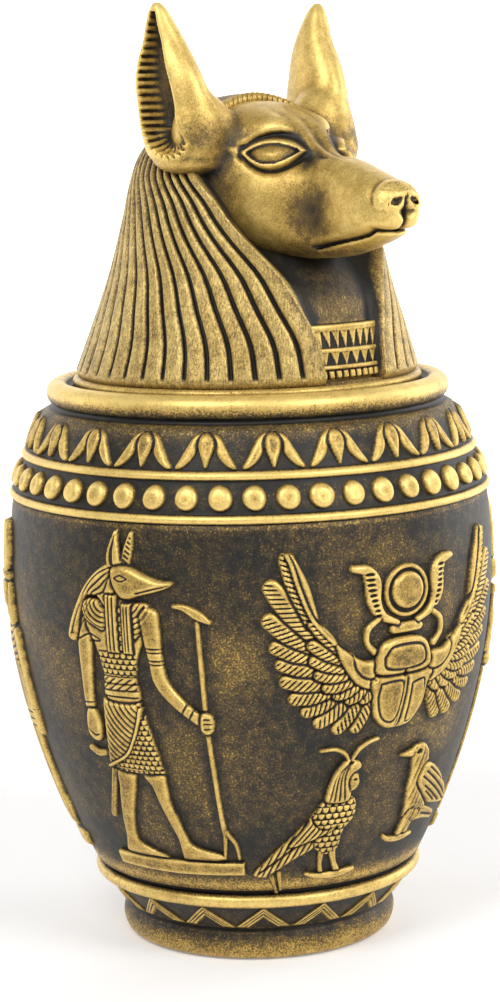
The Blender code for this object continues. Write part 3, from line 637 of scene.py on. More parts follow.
def soul_bird(relief):
    """A bird with a human head of plain proportions, under two thin curved feathers."""
    tail = relief.form([(-21, 33.4), (-26, 29.6), (-31, 25.4), (-35.1, 21.4), (-31.2, 20.7),
        (-28.4, 22.4), (-24.6, 24.6), (-20, 26.8), (-16.4, 29)], 1.2, 0.7)
    spine = [(-16, 31.2), (-21.6, 29.4), (-27.5, 25.6), (-33.4, 21.8)]
    relief.pattern(tail, lines_texture(62, 1.25), 0.42)
    relief.line(spine, 0.5, 0.5)
    relief.bar([(-30.2, 20.8, 1.5), (-28.6, 17.0, 1.1)], 0.7, 0.4)
    relief.bar([(-28.2, 21.4, 1.4), (-27.6, 17.6, 1.0)], 0.75, 0.4)
    breast = relief.form([(-18.6, 37.6), (-13.6, 38.6), (-10.8, 38), (-9.8, 35.6), (-10.4, 33),
        (-12.2, 31), (-12.6, 28.6), (-13.4, 25.8), (-16, 25.2), (-18.6, 26.4), (-20.4, 30),
        (-20.8, 34)], 1.6, 1.6, 0.4, dome=0.3)
    relief.pattern(breast, scales_texture(1.7, 1.35), 0.6)
    shoulder = relief.form([(-19.4, 36.6), (-20.9, 34), (-18, 31.4), (-14, 31.8), (-20, 29.2),
        (-26, 27.8), (-22.6, 32)], 1.75, 0.6, 0.5)
    relief.pattern(shoulder, lines_texture(48, 1.1), 0.45)
    wig = relief.form([(-13.4, 47.0), (-15.6, 45.3), (-17.1, 42.6), (-17.9, 39.6), (-17.6, 37.6),
        (-13, 37.4), (-11.9, 39.4), (-12.9, 41.8), (-12.2, 43.6), (-10.4, 44.9), (-10.9, 46.3)], 1.9,
        0.9, 0.6)
    for shift in (0.0, 1.3, 2.5, 3.6):
        relief.line([(-12.4 - shift * 0.2, 46.3), (-14.2 - shift * 0.5, 43.6), (-13.6 - shift, 38)],
            0.35, 0.4)
    relief.form([(-12.5, 43.4), (-10.9, 43.6), (-10.3, 42.4), (-10.1, 41.5), (-10.4, 40.7),
        (-11.1, 39.9), (-12.4, 39.7), (-12.9, 41.4)], 1.45, 0.7, 0.3)
    relief.carve(disc(-11.35, 42.3, 0.5, 0.26), 0.4, 0.15)
    relief.bar([(-13.2, 46.6, 0.8), (-14.4, 48.3, 0.9), (-16.8, 49.4, 0.9), (-19.8, 49.3, 0.7)], 1.0,
        0.4)
    relief.bar([(-12.6, 46.6, 0.8), (-11.0, 48.8, 0.9), (-8.8, 50.1, 0.9), (-6.7, 50.6, 0.8)], 1.0, 0.4)
    relief.bar([(-17.3, 26, 1.7), (-17.2, 23, 1.2), (-16.6, 20.8, 1.6)], 1.0, 0.5)
    relief.bar([(-14.4, 26, 2.0), (-13.2, 23, 1.4), (-11.8, 20.8, 1.9)], 1.1, 0.5)
    relief.bar([(-20.9, 20.9, 0.8), (-18, 20.2, 1.3), (-12, 20.0, 1.7), (-6.8, 20.7, 1.2)], 1.1, 0.5)


def hawk(relief):
    relief.bar([(12, 30.6, 4.0), (16.6, 29.6, 2.9), (21.4, 28.2, 2.2)], 1.0, 0.6)
    relief.line([(13, 30.2), (21.6, 28.0)], 0.4, 0.4)
    body = relief.form([(4.2, 44.4), (4.9, 41), (5.1, 37), (5.9, 33.4), (6.4, 30.4), (9, 29.3),
        (12.4, 28.8), (14.2, 32), (12.4, 38), (10.4, 42.6), (9.4, 45.4), (7.4, 47.3), (5.2, 47.4),
        (3.6, 46.6)], 1.6, 1.6, 0.4, dome=0.3)
    relief.form([(0.3, 45.7), (3.2, 46.6), (5.0, 46.6), (4.6, 44.9), (2.2, 45.0)], 1.2, 0.6, 0.1)
    relief.pattern(body, lines_texture(78, 1.3), 0.14)
    relief.carve(disc(5.6, 45.75, 0.75, 0.55), 0.7, 0.2)
    relief.line([(9.8, 44.4), (8.6, 42.6), (7.4, 40.6)], 0.35, 0.4)
    relief.form([(8.4, 42.2), (11.2, 42.2), (15.4, 39.7), (20.3, 35.9), (24.2, 32.2), (23.8, 30.6),
        (19.4, 31.2), (14.6, 32.4), (10.4, 35.2), (7.2, 38.6)], 1.95, 0.8, 0.7)
    for start, end in (((8.6, 39.6), (22.8, 31.4)), ((9.6, 40.6), (22.8, 32.6)),
                       ((10.2, 37.2), (19.6, 31.8)), ((10.6, 41.4), (19.0, 36.4)),
                       ((11.2, 35.8), (16.4, 32.6))):
        relief.line([start, end], 0.42, 0.42)
    relief.bar([(8.2, 31, 3.0), (7.4, 28.6, 2.2), (6.6, 26.6, 1.8)], 1.25, 0.6)
    relief.bar([(10.4, 30.6, 2.6), (9.8, 28.4, 1.9), (9.4, 26.6, 1.6)], 1.05, 0.6)
    relief.bar([(1.2, 27.0, 0.8), (3.4, 25.9, 1.3), (8.0, 25.4, 1.6), (12.6, 25.6, 1.1)], 1.0, 0.5)


def front_panel(relief):
    for way in (-1, 1):
        wing(relief, way)
    sun_and_cobras(relief)
    scarab_body(relief)
    soul_bird(relief)
    hawk(relief)


# Left panel: striding figure with a jackal's head and a staff

def striding_legs(relief):
    back = relief.form([(-14.4, 45), (-9.2, 45), (-9.6, 41.5), (-11.2, 37.2), (-12.6, 33.4),
        (-13.6, 29.6), (-13.2, 27.6), (-10.6, 26.4), (-6.6, 25.2), (-5.4, 24.4), (-9, 24.1),
        (-15, 24.1), (-18.2, 24.6), (-18.4, 25.8), (-17.2, 28.6), (-16.4, 33), (-15.2, 38),
        (-14.4, 41.4)], 1.25, 1.3, dome=0.25)
    front = relief.form([(-7.8, 44.8), (-2.2, 44.6), (-1.6, 41.5), (-1.4, 38), (-0.3, 34.4),
        (1.0, 30.6), (2.2, 28.2), (5.6, 27.0), (9.6, 26.2), (10.3, 25.2), (8, 24.7), (3, 24.6),
        (-0.6, 24.7), (-1.0, 26.2), (-1.3, 29.6), (-3.0, 34), (-4.4, 38), (-5.4, 41.6)], 1.5, 1.4,
        dome=0.3)
    for side, low in ((back, 24.2), (front, 24.8)):
        relief.pattern(side, lambda u, v: 0.4 * smooth_step(v, low + 1.4, low), 0.5)


def kilt(relief):
    relief.bar([(-14.6, 44.6, 1.8), (-17, 38.6, 1.6), (-19.5, 33.2, 1.6)], 0.85, 0.5)
    skirt = relief.form([(-13.9, 60.2), (-14.3, 56), (-14.9, 50), (-15.6, 45), (-11, 44.0), (-6, 43.9),
        (-1.6, 44.6), (-2.3, 48.2), (-3.8, 54.6), (-5.1, 60.2)], 1.55, 1.5, 0.5, dome=0.25, soft=False)
    flap = [(-4.9, 58.6), (-5.8, 55.4), (-7.4, 51.6), (-9.9, 48), (-15.0, 45.2)]

    def pleats(u, v):
        bend = np.hypot(u + 1.0, (v - 64.5) * 0.92)
        return (0.5 + 0.5 * np.cos(math.tau * bend / 1.12)) ** 2 * (path_side(u, v, flap) > 0)

    def beads(u, v):
        return scales_texture(1.3, 1.1)(u, v) * (path_side(u, v, flap) < 0)

    relief.pattern(skirt, pleats, 0.3)
    relief.pattern(skirt, beads, 0.45)
    relief.bar([(x, y, 0.8) for x, y in flap], 2.0, 0.4, 0.3)
    relief.line([(-14.8, 44.9), (-8, 44.7), (-2, 45.3)], 0.3, 0.35)


def path_side(u, v, path):
    """Which side of a falling path a place lies on: positive to its left, seen from the front."""
    points = np.array(sorted(path, key=lambda point: point[1]), float)
    return np.interp(v, points[:, 1], points[:, 0]) - u


def trunk(relief):
    relief.bar([(-16.4, 77.6, 4.2), (-16.9, 71.6, 3.7), (-17.4, 65, 3.0), (-18.0, 57.6, 2.4)], 1.3, 1.0)
    relief.form([(-18.8, 57), (-16.6, 57.2), (-15.6, 54.4), (-16.3, 51), (-18.2, 50.2), (-19.8, 52.2)],
        1.4, 0.9, 0.4)
    relief.line([(-19.2, 52.8), (-17.6, 51.6), (-16.6, 51.8)], 0.35, 0.35)
    relief.bar([(-20.4, 48.2, 1.5), (-18.6, 47.4, 1.7), (-16.6, 47.6, 1.3)], 0.9, 0.4, 0.4)
    relief.carve(disc(-18.6, 49.4, 0.9, 0.5), 0.6, 0.15)
    for height in (57.4, 58.6):
        relief.line([(-19.4, height), (-16.6, height + 0.2)], 0.35, 0.35)
    chest = relief.form([(-15.6, 80.4), (-16.2, 76), (-14.2, 71.4), (-12.9, 66), (-12.7, 60.2),
        (-5.2, 60.2), (-5.2, 65), (-4.4, 70), (-1.6, 75), (-0.2, 78.6), (-1.8, 80.2), (-6, 81.4),
        (-11, 81.6)], 1.35, 1.4, 0.5, dome=0.3)
    relief.pattern(chest, lambda u, v: scales_texture(1.35, 1.15)(u, v) * ((v > 65.4) & (v < 70.2)),
        0.5)
    for height in (60.8, 62.2, 63.6, 65.2, 70.4):
        relief.line([(-13.2, height), (-5.2, height + 0.15)], 0.4, 0.4)
    relief.pattern(chest, lambda u, v: lines_texture(38, 1.1)(u, v) * ((v > 62.4) & (v < 65)), 0.35)
    near = relief.form([(-17.2, 79.4), (-15, 81.2), (-11.6, 80.6), (-10.6, 77.4), (-11.4, 74.8),
        (-13.4, 75.2), (-16, 76.8)], 1.75, 0.9, 0.5)
    relief.pattern(near, lambda u, v: ring_lines(u, v, -11.2, 80.6, 1.05), 0.4)
    far = relief.form([(-5.0, 76.2), (-5.2, 80.2), (-2.6, 81.0), (-0.3, 79.4), (-1.2, 77.2),
        (-3.4, 74.6), (-4.8, 73.2)], 1.7, 0.9, 0.5)
    relief.pattern(far, lambda u, v: ring_lines(u, v, -6.4, 81.6, 1.05), 0.4)
    relief.line([(-17.9, 72.4), (-15.2, 73.6), (-12.4, 72.6), (-15.2, 72.2)], 0.4, 0.4)


def ring_lines(u, v, across, up, spacing):
    return (0.5 + 0.5 * np.cos(math.tau * np.hypot(u - across, v - up) / spacing)) ** 2


def arm_with_staff(relief):
    relief.bar([(8.0, 77.4, 1.0), (8.5, 66, 1.1), (8.8, 56, 1.1), (9.5, 46, 1.15), (10.2, 36, 1.2),
        (10.8, 31.4, 1.5)], 0.95, 0.55)
    relief.bar([(3.4, 80.6, 0.8), (5.6, 80.3, 1.5), (8.2, 78.8, 2.0), (10.3, 77.5, 1.0)], 1.1, 0.6, 0.2)
    relief.bar([(11.0, 31.6, 1.4), (10.6, 28.6, 1.1), (10.2, 25.4, 0.9)], 0.9, 0.45, 0.1)
    relief.bar([(11.2, 31.4, 1.2), (13.2, 28.8, 1.1), (13.9, 25.4, 0.9)], 0.9, 0.45, 0.1)
    relief.bar([(-1.6, 78.2, 4.0), (-1.1, 73.6, 3.7), (-0.6, 69, 3.0), (0.2, 64.6, 3.0),
        (3.4, 60.4, 2.7), (7.4, 56.9, 2.3)], 1.55, 1.1, 0.5, dome=0.15)
    for height in (68.4, 69.2, 70.9, 71.7):
        relief.line([(-2.9, height), (1.0, height)], 0.4, 0.34)
    for start, end in (((5.2, 60.2), (4.0, 58.2)), ((6.6, 59.2), (5.5, 57.2))):
        relief.line([start, end], 0.4, 0.4)
    relief.form([(8.0, 58.4), (10.2, 58), (10.4, 55), (9.0, 53.8), (7.6, 55)], 1.7, 0.7, 0.5)
    for height in (55.2, 56.3, 57.3):
        relief.line([(8.6, height), (10.3, height)], 0.35, 0.3)


def jackal_profile(relief):
    relief.form([(-9.2, 88.8), (-12.6, 87.1), (-15.8, 83.7), (-18.3, 79.3), (-20.2, 75), (-20.7, 72.4),
        (-18.8, 72.0), (-17.4, 77.2), (-15.9, 81.2), (-12.6, 81.6), (-10.8, 79.6), (-9.0, 82),
        (-7.4, 86.4)], 1.8, 0.8, 0.6)
    for shift in (0.0, 1.1, 2.2, 3.3):
        relief.line([(-8.6 - shift * 0.35, 88.2 - shift * 0.6), (-12.6 + shift * 0.5, 86.2 - shift),
            (-16.2 + shift * 0.62, 81.6 - shift * 0.2), (-19.6 + shift * 0.45, 73.4)], 0.42, 0.42)
    for left, right, top in ((-10.7, -8.1, 82.4), (-7.2, -5.1, 80.8)):
        relief.form([(left, 70.3), (right, 70.3), (right, top), (left, top)], 1.95, 0.5, 0.5,
            soft=False)
        for share in (0.33, 0.67):
            relief.line([(left + (right - left) * share, 70.6), (left + (right - left) * share, top)],
                0.4, 0.36)
    for height in (71.4, 73.4, 75.4, 77.4, 79.2):
        relief.add(box(-8.05, height - 0.55, -7.3, height + 0.55), 1.5, 0.3, 0.3)
    relief.form([(-10.0, 88.0), (-10.3, 91), (-9.2, 94.2), (-8.4, 95.4), (-7.9, 92.6), (-7.2, 89.4),
        (-7.0, 87.8)], 1.75, 0.5, 0.4)
    relief.carve(limb((-9.3, 88.6, 1.0), (-9.4, 91, 1.1), (-8.7, 94.2, 0.4)), 0.75, 0.2)
    relief.bar([(-6.5, 88.0, 1.9), (-6.0, 91.4, 1.9), (-5.3, 94.8, 0.9)], 1.0, 0.4, 0.3)
    relief.pattern(limb((-6.5, 89.0, 1.4), (-5.9, 91.4, 1.4), (-5.4, 94.0, 0.7)),
        lines_texture(-35, 0.9), 0.45, 0.2)
    relief.form([(-9.4, 87.6), (-6.8, 88.4), (-4.4, 87.8), (-2.2, 86.8), (0.6, 85.9), (3.2, 85.5),
        (3.3, 84.9), (2.4, 84.3), (0, 83.4), (-3.4, 82.4), (-5.6, 81.6), (-7.4, 81.9), (-9.1, 84.4)],
        2.05, 1.3, 0.7, dome=0.2)
    relief.line([(2.6, 84.75), (-0.6, 83.9), (-3.7, 83.0)], 0.5, 0.4)
    relief.line([(-8.2, 85.9), (-6.9, 86.5), (-5.5, 85.9)], 0.35, 0.3)
    relief.line([(-8.0, 85.7), (-6.8, 85.3), (-5.5, 85.8)], 0.35, 0.3)


def plinth_bar(relief, left, right, top=24.3, low=20.9):
    relief.form([(left, low + 0.2), (left + (right - left) * 0.5, low), (right, low + 0.4),
        (right, top), (left + (right - left) * 0.5, top), (left, top - 0.1)], 1.25, 0.6, 0.2,
        soft=False)


def left_panel(relief):
    striding_legs(relief)
    kilt(relief)
    trunk(relief)
    arm_with_staff(relief)
    jackal_profile(relief)
    plinth_bar(relief, -22.8, 15.2)


# Side and back panels, plainer

def robe(relief, points, slant, pleats_top, left, waist):
    """A pleated robe with a round collar and three lines at the waist."""
    form = relief.form(points, 1.5, 1.6, 0.4, dome=0.3, soft=False)

    def pleats(u, v):
        return (0.5 + 0.5 * np.cos(math.tau * (u - slant * (v - 25)) / PLEAT_PITCH)) ** 2 * (v < pleats_top)

    relief.pattern(form, pleats, 0.3)
    relief.pattern(form, lambda u, v: ring_lines(u, v, 0, 75, PLEAT_PITCH) * (v > 62), 0.4)
    for height in waist:
        relief.line([(left, height), (4.8, height)], 0.4, 0.4)


def robed_king(relief):
    relief.bar([(-10.4, 25, 1.2), (-10.4, 48, 1.1), (-10.4, 73, 1.1)], 0.95, 0.5)
    relief.bar([(-11.6, 73.4, 0.9), (-10.2, 74.2, 1.5), (-8.6, 72.8, 1.0)], 1.1, 0.5)
    robe(relief, [(-5.6, 25), (5.4, 25), (4.8, 36), (4.6, 46), (5.2, 56), (6.2, 66), (6.6, 70),
        (-6.6, 70), (-6.2, 64), (-4.4, 54), (-4.4, 44), (-5, 34)], 0.02, 48, -4.6, (48.4, 50, 51.6))
    relief.bar([(5.2, 67.6, 3.4), (6.0, 60, 3.0), (6.0, 53, 2.6), (5.6, 47.6, 2.6)], 1.6, 1.0, 0.5)
    relief.bar([(-5.4, 67.4, 3.4), (-6.8, 60, 2.9), (-8.4, 57.4, 2.6), (-10.2, 58.4, 2.6)], 1.8, 1.0,
        0.5)
    wig = relief.form([(3.4, 80), (4.4, 76), (4.6, 70.6), (1.8, 70.4), (-2.4, 70.6), (-3.2, 74),
        (-2.6, 80)], 1.7, 0.9, 0.5)
    relief.pattern(wig, lines_texture(90, 1.0), 0.35)
    relief.form([(-3.2, 79.6), (-4.4, 77.2), (-4.0, 75), (-1.6, 74.2), (-0.6, 77), (-1.2, 80)], 2.0,
        1.0, 0.5)
    relief.form([(-3.4, 79.4), (3.6, 79.4), (4.6, 82.4), (2.8, 85), (1.8, 90.5), (-0.6, 92.4),
        (-2.4, 88.6), (-3.0, 84)], 1.7, 1.2, 0.6, dome=0.2)
    relief.line([(-3.2, 80.8), (3.8, 80.8)], 0.4, 0.4)
    plinth_bar(relief, -12.6, 9.6)


def crowned_robe(relief):
    robe(relief, both_sides([(5.4, 25), (4.6, 38), (4.6, 46), (5.4, 56), (7.0, 66), (6.4, 70)]), 0,
        47, -4.8, (47.4, 49, 50.6))
    for way in (-1, 1):
        relief.bar(flipped(way, [(5.8, 68, 3.4), (7.2, 60, 2.9), (7.6, 53, 2.5), (7.6, 47.5, 2.6)]),
            1.45, 1.0, 0.5)
        relief.line(flipped(way, [(6.2, 52), (9.0, 52)]), 0.35, 0.35)
    wig = relief.form(both_sides([(0, 72.4), (2.4, 70.4), (5.0, 70.6), (4.6, 77), (2.8, 80)]), 1.6, 0.9,
        0.5)
    relief.pattern(wig, lines_texture(90, 1.0), 0.35)
    relief.form(both_sides([(0, 73.2), (1.6, 73.9), (2.8, 76.4), (2.6, 79.4)]), 2.0, 1.2, 0.5)
    relief.bar([(-3.4, 80.6, 1.9), (3.4, 80.6, 1.9)], 1.9, 0.6, 0.4)
    for way in (-1, 1):
        relief.form(flipped(way, [(0.3, 81.4), (2.9, 81.4), (4.0, 86.4), (2.6, 91.6), (1.0, 91.8),
            (0.3, 88)]), 1.6, 0.8, 0.5)
        relief.line(flipped(way, [(1.5, 82), (2.0, 90)]), 0.35, 0.4)
    plinth_bar(relief, -10.6, 10.6)


def lotus_sheaf(relief):
    """A tall flower between two buds, for the back."""
    for way in (-1, 1):
        relief.bar(flipped(way, [(0.8, 27, 1.4), (4.2, 36, 1.2), (8.0, 49, 1.2), (9.2, 59, 1.4)]), 0.85,
            0.5)
        bud = relief.form(flipped(way, [(9.2, 58), (7.4, 62), (7.8, 67), (9.6, 71), (11.2, 66.6),
            (11.2, 62)]), 1.3, 0.9, 0.3, dome=0.2)
        relief.line(flipped(way, [(9.2, 59), (9.5, 69)]), 0.35, 0.4)
        relief.pattern(bud, lines_texture(90, 1.3), 0.2)
    relief.bar([(0, 25, 2.0), (0, 45, 1.7), (0, 64, 1.7)], 1.0, 0.6)
    for way in (-1, 1):
        relief.form(flipped(way, [(0.6, 63), (3.6, 67), (8.2, 76.4), (8.6, 79.6), (5.2, 77.2),
            (2.0, 70)]), 1.3, 0.8, 0.4)
        relief.form(flipped(way, [(0.4, 63.4), (2.8, 69), (4.6, 77.6), (4.2, 81.6), (1.6, 77)]), 1.5,
            0.8, 0.5)
    relief.form(both_sides([(0, 62.6), (1.6, 64), (2.0, 72), (0.9, 79.6), (0, 82.2)]), 1.8, 0.9, 0.6)
    plinth_bar(relief, -10, 10)


# Name, centre angle, extent, grid step and maker of every panel round the body
PANELS = (
    ("jar_scarab_and_birds", 0.0, (-36.4, 15.8, 29.6, 92.4), 0.24, front_panel),
    ("jar_striding_jackal", -PANEL, (-24.4, 19.6, 16.6, 96.6), 0.225, left_panel),
    ("jar_robed_king", PANEL, (-14.4, 19.8, 11.6, 94), 0.31, robed_king),
    ("jar_crowned_robe_left", -2 * PANEL, (-12.4, 19.8, 12.4, 93.4), 0.37, crowned_robe),
    ("jar_crowned_robe_right", 2 * PANEL, (-12.4, 19.8, 12.4, 93.4), 0.37, crowned_robe),
    ("jar_lotus_sheaf", 3 * PANEL, (-13, 19.8, 13, 83.6), 0.37, lotus_sheaf),
)


# Bands round the jar

def joined(parts):
    """Points and faces of many closed shells as one."""
    points, faces = [], []
    base = 0
    for own_points, own_faces in parts:
        points.append(own_points)
        faces.append([group + base for group in own_faces])
        base += len(own_points)
    return np.concatenate(points), [np.concatenate(kind) for kind in zip(*faces)]


def ring_of_reliefs(relief, count, turn, radius_at):
    """Copies of one relief round a band, each a little different, as one mesh."""
    parts, lift = [], []
    for index in range(count):
        shift, tilt, stretch = chance.normal(0, BAND_UNEVEN)

        def place(u, v, h):
            middle = (v.min() + v.max()) / 2
            across = (u + tilt * (v - middle)) * (1 + stretch) + shift
            up = v + tilt * u * 0.5
            radius = radius_at(v)
            angle = turn + index * math.tau / count + across / radius
            return around(radius + h * (1 + stretch * 3), angle, up)

        own_points, own_faces, own_lift = relief.mesh_parts(place)
        parts.append((own_points, own_faces))
        lift.append(own_lift)
    return *joined(parts), np.concatenate(lift)


def lotus_relief():
    """One flower: a petal to each side and a bud between them; heights count down from its top."""
    relief = Relief(-6.9, LOTUS_FOOT - 0.4, 6.9, LOTUS_TOP + 0.4, 0.28)
    top = LOTUS_TOP - 0.45
    petal = [(0.9, 0), (2.7, 1.0), (4.0, 3.0), (5.2, 5.0), (6.3, 6.9), (4.9, 6.8), (3.2, 5.5),
        (2.1, 3.9), (1.9, 2.1), (1.2, 0.9)]
    bud = both_sides([(0, 6.9), (-0.8, 5.2), (-1.6, 3.0), (-1.45, 1.3), (-0.6, 0.3)])
    for way in (-1, 1):
        relief.form(flipped(way, [(x, top - drop) for x, drop in petal]), BAND_RELIEF * 1.1, 0.9, 0.3)
    relief.form([(x, top - drop) for x, drop in bud], BAND_RELIEF * 1.35, 0.9, 0.5, dome=0.1)
    return relief


def zigzag_relief():
    relief = Relief(-6.2, FOOT_HEIGHT - 0.2, 6.2, ZIGZAG_TOP + 0.3, 0.25)
    chevron = relief.form(both_sides([(0, 12.7), (5.7, 7.3), (3.1, 7.3), (0, 10.0)]), BAND_RELIEF, 0.5,
        soft=False)
    for way in (-1, 1):
        lines = lines_texture(-43.5 * way, 0.62, 1.2)
        relief.pattern(chevron, lambda u, v: lines(u, v) * (u * way > 0), 0.34)
    return relief


def bead_points():
    """Slightly uneven domes, with flat tops, each closed below."""
    parts = []
    sides, rows = 26, 9
    turns = np.arange(sides) * math.tau / sides
    rises = np.linspace(0, 1, rows)
    middle = (BEAD_BAND_FOOT + BEAD_BAND_TOP) / 2
    for bead in range(BEAD_COUNT):
        centre = BEAD_TURN + bead * math.tau / BEAD_COUNT
        size = BEAD_RADIUS * (1 + chance.normal(0, 0.02))
        squash, lean, dent = chance.normal(0, (0.03, 0.10, 0.06))
        phase = chance.uniform(0, math.tau, 2)
        rim = 1 + 0.025 * np.cos(2 * turns + phase[0]) + 0.018 * np.cos(3 * turns + phase[1])
        bend = rises * math.pi * 0.5
        reach = np.cos(bend) ** 0.62
        lift = -0.5 + (BEAD_DEPTH + 0.5) * np.sin(bend) ** 0.8
        across = size * (1 + squash) * reach[:, None] * rim * np.cos(turns)
        up = size * (1 - squash) * reach[:, None] * rim * np.sin(turns)
        worn = 0.16 * np.exp(-(reach[:, None] / 0.5) ** 2)
        lift = lift[:, None] + lean * across / size * 0.6 - worn + dent * 0.5
        levels = middle + up
        dome = around(shoulder_radius(levels) + lift, centre + across / shoulder_radius(middle), levels)
        own = np.concatenate([dome[:-1].reshape(-1, 3),
                              [around(shoulder_radius(middle) - 0.5, centre, middle)],
                              [dome[-1].mean(0)]])
        parts.append((own, lathe_faces(rows - 1, sides)))
    return joined(parts)


# Lid: places on the head are forward, to the side and up from the flange

STRIPE_STEPS = (0.0, 0.05, 0.09, 0.13, 0.19, 0.34, 0.66, 0.81, 0.87, 0.91, 0.95)
CLOTH_TOP = 58.3
COLLAR_HALF = 9.4
CLOTH_SHAPE = (
    (0, 1.0), (8, 0.915), (20, 0.795), (32.4, 0.7), (40.9, 0.645), (46, 0.595), (50, 0.51),
    (53.5, 0.4), (56, 0.27), (57.2, 0.18), (57.9, 0.1), (58.2, 0.04),
)
CLOTH_FRONT = (
    (0, 0), (10, 0.065), (16, 0.09), (24, 0.12), (32, 0.15), (44, 0.16), (54, 0.05), (58.2, 0),
)
FACE_EDGE = (
    (0, 12.5), (8.6, 14.6), (14.8, 19.8), (22.4, 27.2), (28.8, 38), (32.4, 44.2), (37, 51.8),
    (41, 61), (46, 72), (53.5, 76), (56, 67), (57.2, 52), (57.9, 25), (58.2, 10),
)
THROAT_INSET = (
    (0, 2.6), (12, 2.7), (17, 3.3), (21, 5.2), (25, 8.6), (29, 13.0), (36, 15.0), (46, 13.0),
    (54, 8.0), (58.2, 1.5),
)
THROAT_SLOPE = ((0, 0.94), (9, 0.90), (13, 0.82), (18, 0.74), (24, 0.84), (30, 0.93), (58.2, 0.94))


def cloth_radius(part, angle):
    front = np.clip(np.cos(angle), 0, None) ** 2.5
    at_ear = np.exp(-((np.abs((angle + math.pi) % math.tau - math.pi) - 1.2) / 0.55) ** 2)
    tucked = 0.11 * at_ear * smooth_step(part, 41, 47) * smooth_step(part, 57, 52)
    return NEMES_RADIUS * (eased(part, CLOTH_SHAPE) + eased(part, CLOTH_FRONT) * front - tucked)


def striped_cloth():
    """The striped headcloth with the throat set back between its front edges."""
    lower = np.linspace(0, 50, 70)
    upper = 50 + 8.2 * np.sin(np.linspace(0, math.pi / 2, 24)[1:])
    parts = np.concatenate([lower, upper])[:, None]
    edge = np.radians(eased(parts, FACE_EDGE))
    stripes = np.arange(STRIPE_COUNT)[:, None] + np.array(STRIPE_STEPS)
    stripes = np.append(stripes.ravel(), STRIPE_COUNT)
    angles = edge + (math.tau - 2 * edge) * (stripes / STRIPE_COUNT)
    radius = cloth_radius(parts, angles)
    pitch = (math.tau - 2 * edge) / STRIPE_COUNT * radius
    beside = np.abs(stripes - np.round(stripes)) * pitch
    inner_line = (stripes > 0.5) & (stripes < STRIPE_COUNT - 0.5)
    groove = np.exp(-(beside / 0.50) ** 4) * inner_line * smooth_step(parts, 1.0, 1.5)
    full_depth = smooth_step(pitch, 0.5, 2.6)
    crowning = 0.10 * (1 - (np.abs(stripes % 1 - 0.5) * 2) ** 2)
    hem = smooth_step(parts, 0, 0.5) * 0.5 - 0.5
    radius = radius - groove * (STRIPE_GROOVE * full_depth) + crowning * full_depth + hem
    shares = np.concatenate([[-0.995, -0.97, -0.94], np.linspace(-0.88, 0.88, 23), [0.94, 0.97, 0.995]])
    throat_angles = edge * shares
    foot_of_slope = eased(parts, THROAT_SLOPE)
    inset = eased(parts, THROAT_INSET) * smooth_step(np.abs(shares), 1.0, foot_of_slope)
    throat = cloth_radius(parts, throat_angles) - inset + hem
    all_angles = np.concatenate([angles, throat_angles], 1)
    all_radii = np.concatenate([radius, throat], 1)
    points = around(all_radii, all_angles, FLANGE_TOP + parts)
    columns = all_angles.shape[1]
    foot = around(all_radii[:1] - 0.3, all_angles[:1], np.full((1, columns), FLANGE_TOP - 1.0))
    points = np.concatenate([foot, points]).reshape(-1, 3)
    points = np.concatenate([points, [[0, 0, FLANGE_TOP - 1.0], [0, 0, FLANGE_TOP + CLOTH_TOP]]])
    groove_all = np.concatenate([groove, np.zeros(throat.shape)], 1)
    gold_and_shade = 0.50 - 1.0 * groove_all
    shares = np.abs(shares)
    # Painted shade on the throat: darker over its floor, more so higher up under the jaw, and in the
    # creases at the foot of its sloping sides.
    in_throat = smooth_step(shares, foot_of_slope + 0.03, foot_of_slope - 0.03)
    corner = hump(shares - foot_of_slope, 0.06)
    shadow = 0.10 + 0.42 * smooth_step(parts, 13.5, 19)
    gold_and_shade[:, -shares.size:] -= in_throat * shadow + corner * 0.55
    gold_and_shade[:, -shares.size:] -= 0.6 * smooth_step(shares, 0.985, 0.85) * smooth_step(parts, 21, 26)
    gold_and_shade[parts[:, 0] > 50] = 0.40
    gold_and_shade = np.concatenate([np.zeros(columns), gold_and_shade.ravel(), [0, 0.5]])
    return points, lathe_faces(len(parts) + 1, columns), gold_and_shade


def lid_foot_profile():
    spigot = MOUTH_RADIUS - SPIGOT_CLEARANCE
    bottom = FLANGE_FOOT - SPIGOT_DEPTH
    points = [(6.0, bottom), (spigot - 0.8, bottom), (spigot, bottom + 0.8), (spigot, FLANGE_FOOT),
        (FLANGE_RADIUS - 0.5, FLANGE_FOOT)]
    for turn in np.linspace(-1.2, 1.3, 9):
        points.append((FLANGE_RADIUS - 0.75 + 0.75 * math.cos(turn),
                       FLANGE_FOOT + 0.85 + 0.8 * math.sin(turn)))
    points += [(NEMES_RADIUS - 0.9, FLANGE_TOP - 0.75), (NEMES_RADIUS - 0.9, FLANGE_TOP - 0.3),
               (20, FLANGE_TOP - 0.3)]
    return points


def collar_relief():
    """Three bars across the throat with rows of small teeth between them, and beads below."""
    relief = Relief(-COLLAR_HALF, 0.15, COLLAR_HALF, 11.8, 0.19)
    for low, high in ((9.9, 11.3), (5.6, 6.5), (2.2, 3.1)):
        relief.add(box(-COLLAR_HALF, low, COLLAR_HALF, high), 0.75, 0.35, 0)
    for low, high, pitch in ((6.5, 9.9, 2.05), (3.1, 5.6, 2.7)):
        relief.add(box(-COLLAR_HALF, low, COLLAR_HALF, high), 0.12, 0.3, 0)
        for tooth in range(-4, 5):
            middle = (tooth + 0.5) * pitch + chance.normal(0, 0.05)
            half = pitch * 0.46
            relief.form([(middle - half, high + 0.3), (middle + half, high + 0.3), (middle, low - 0.2)],
                0.62, 0.25, 0, soft=False)
    for bead in range(-4, 5):
        middle = bead * 1.9 + chance.normal(0, 0.05)
        relief.add(box(middle - 0.62, 0.45, middle + 0.62, 1.95, 0.25), 0.75, 0.3, 0)
    return relief


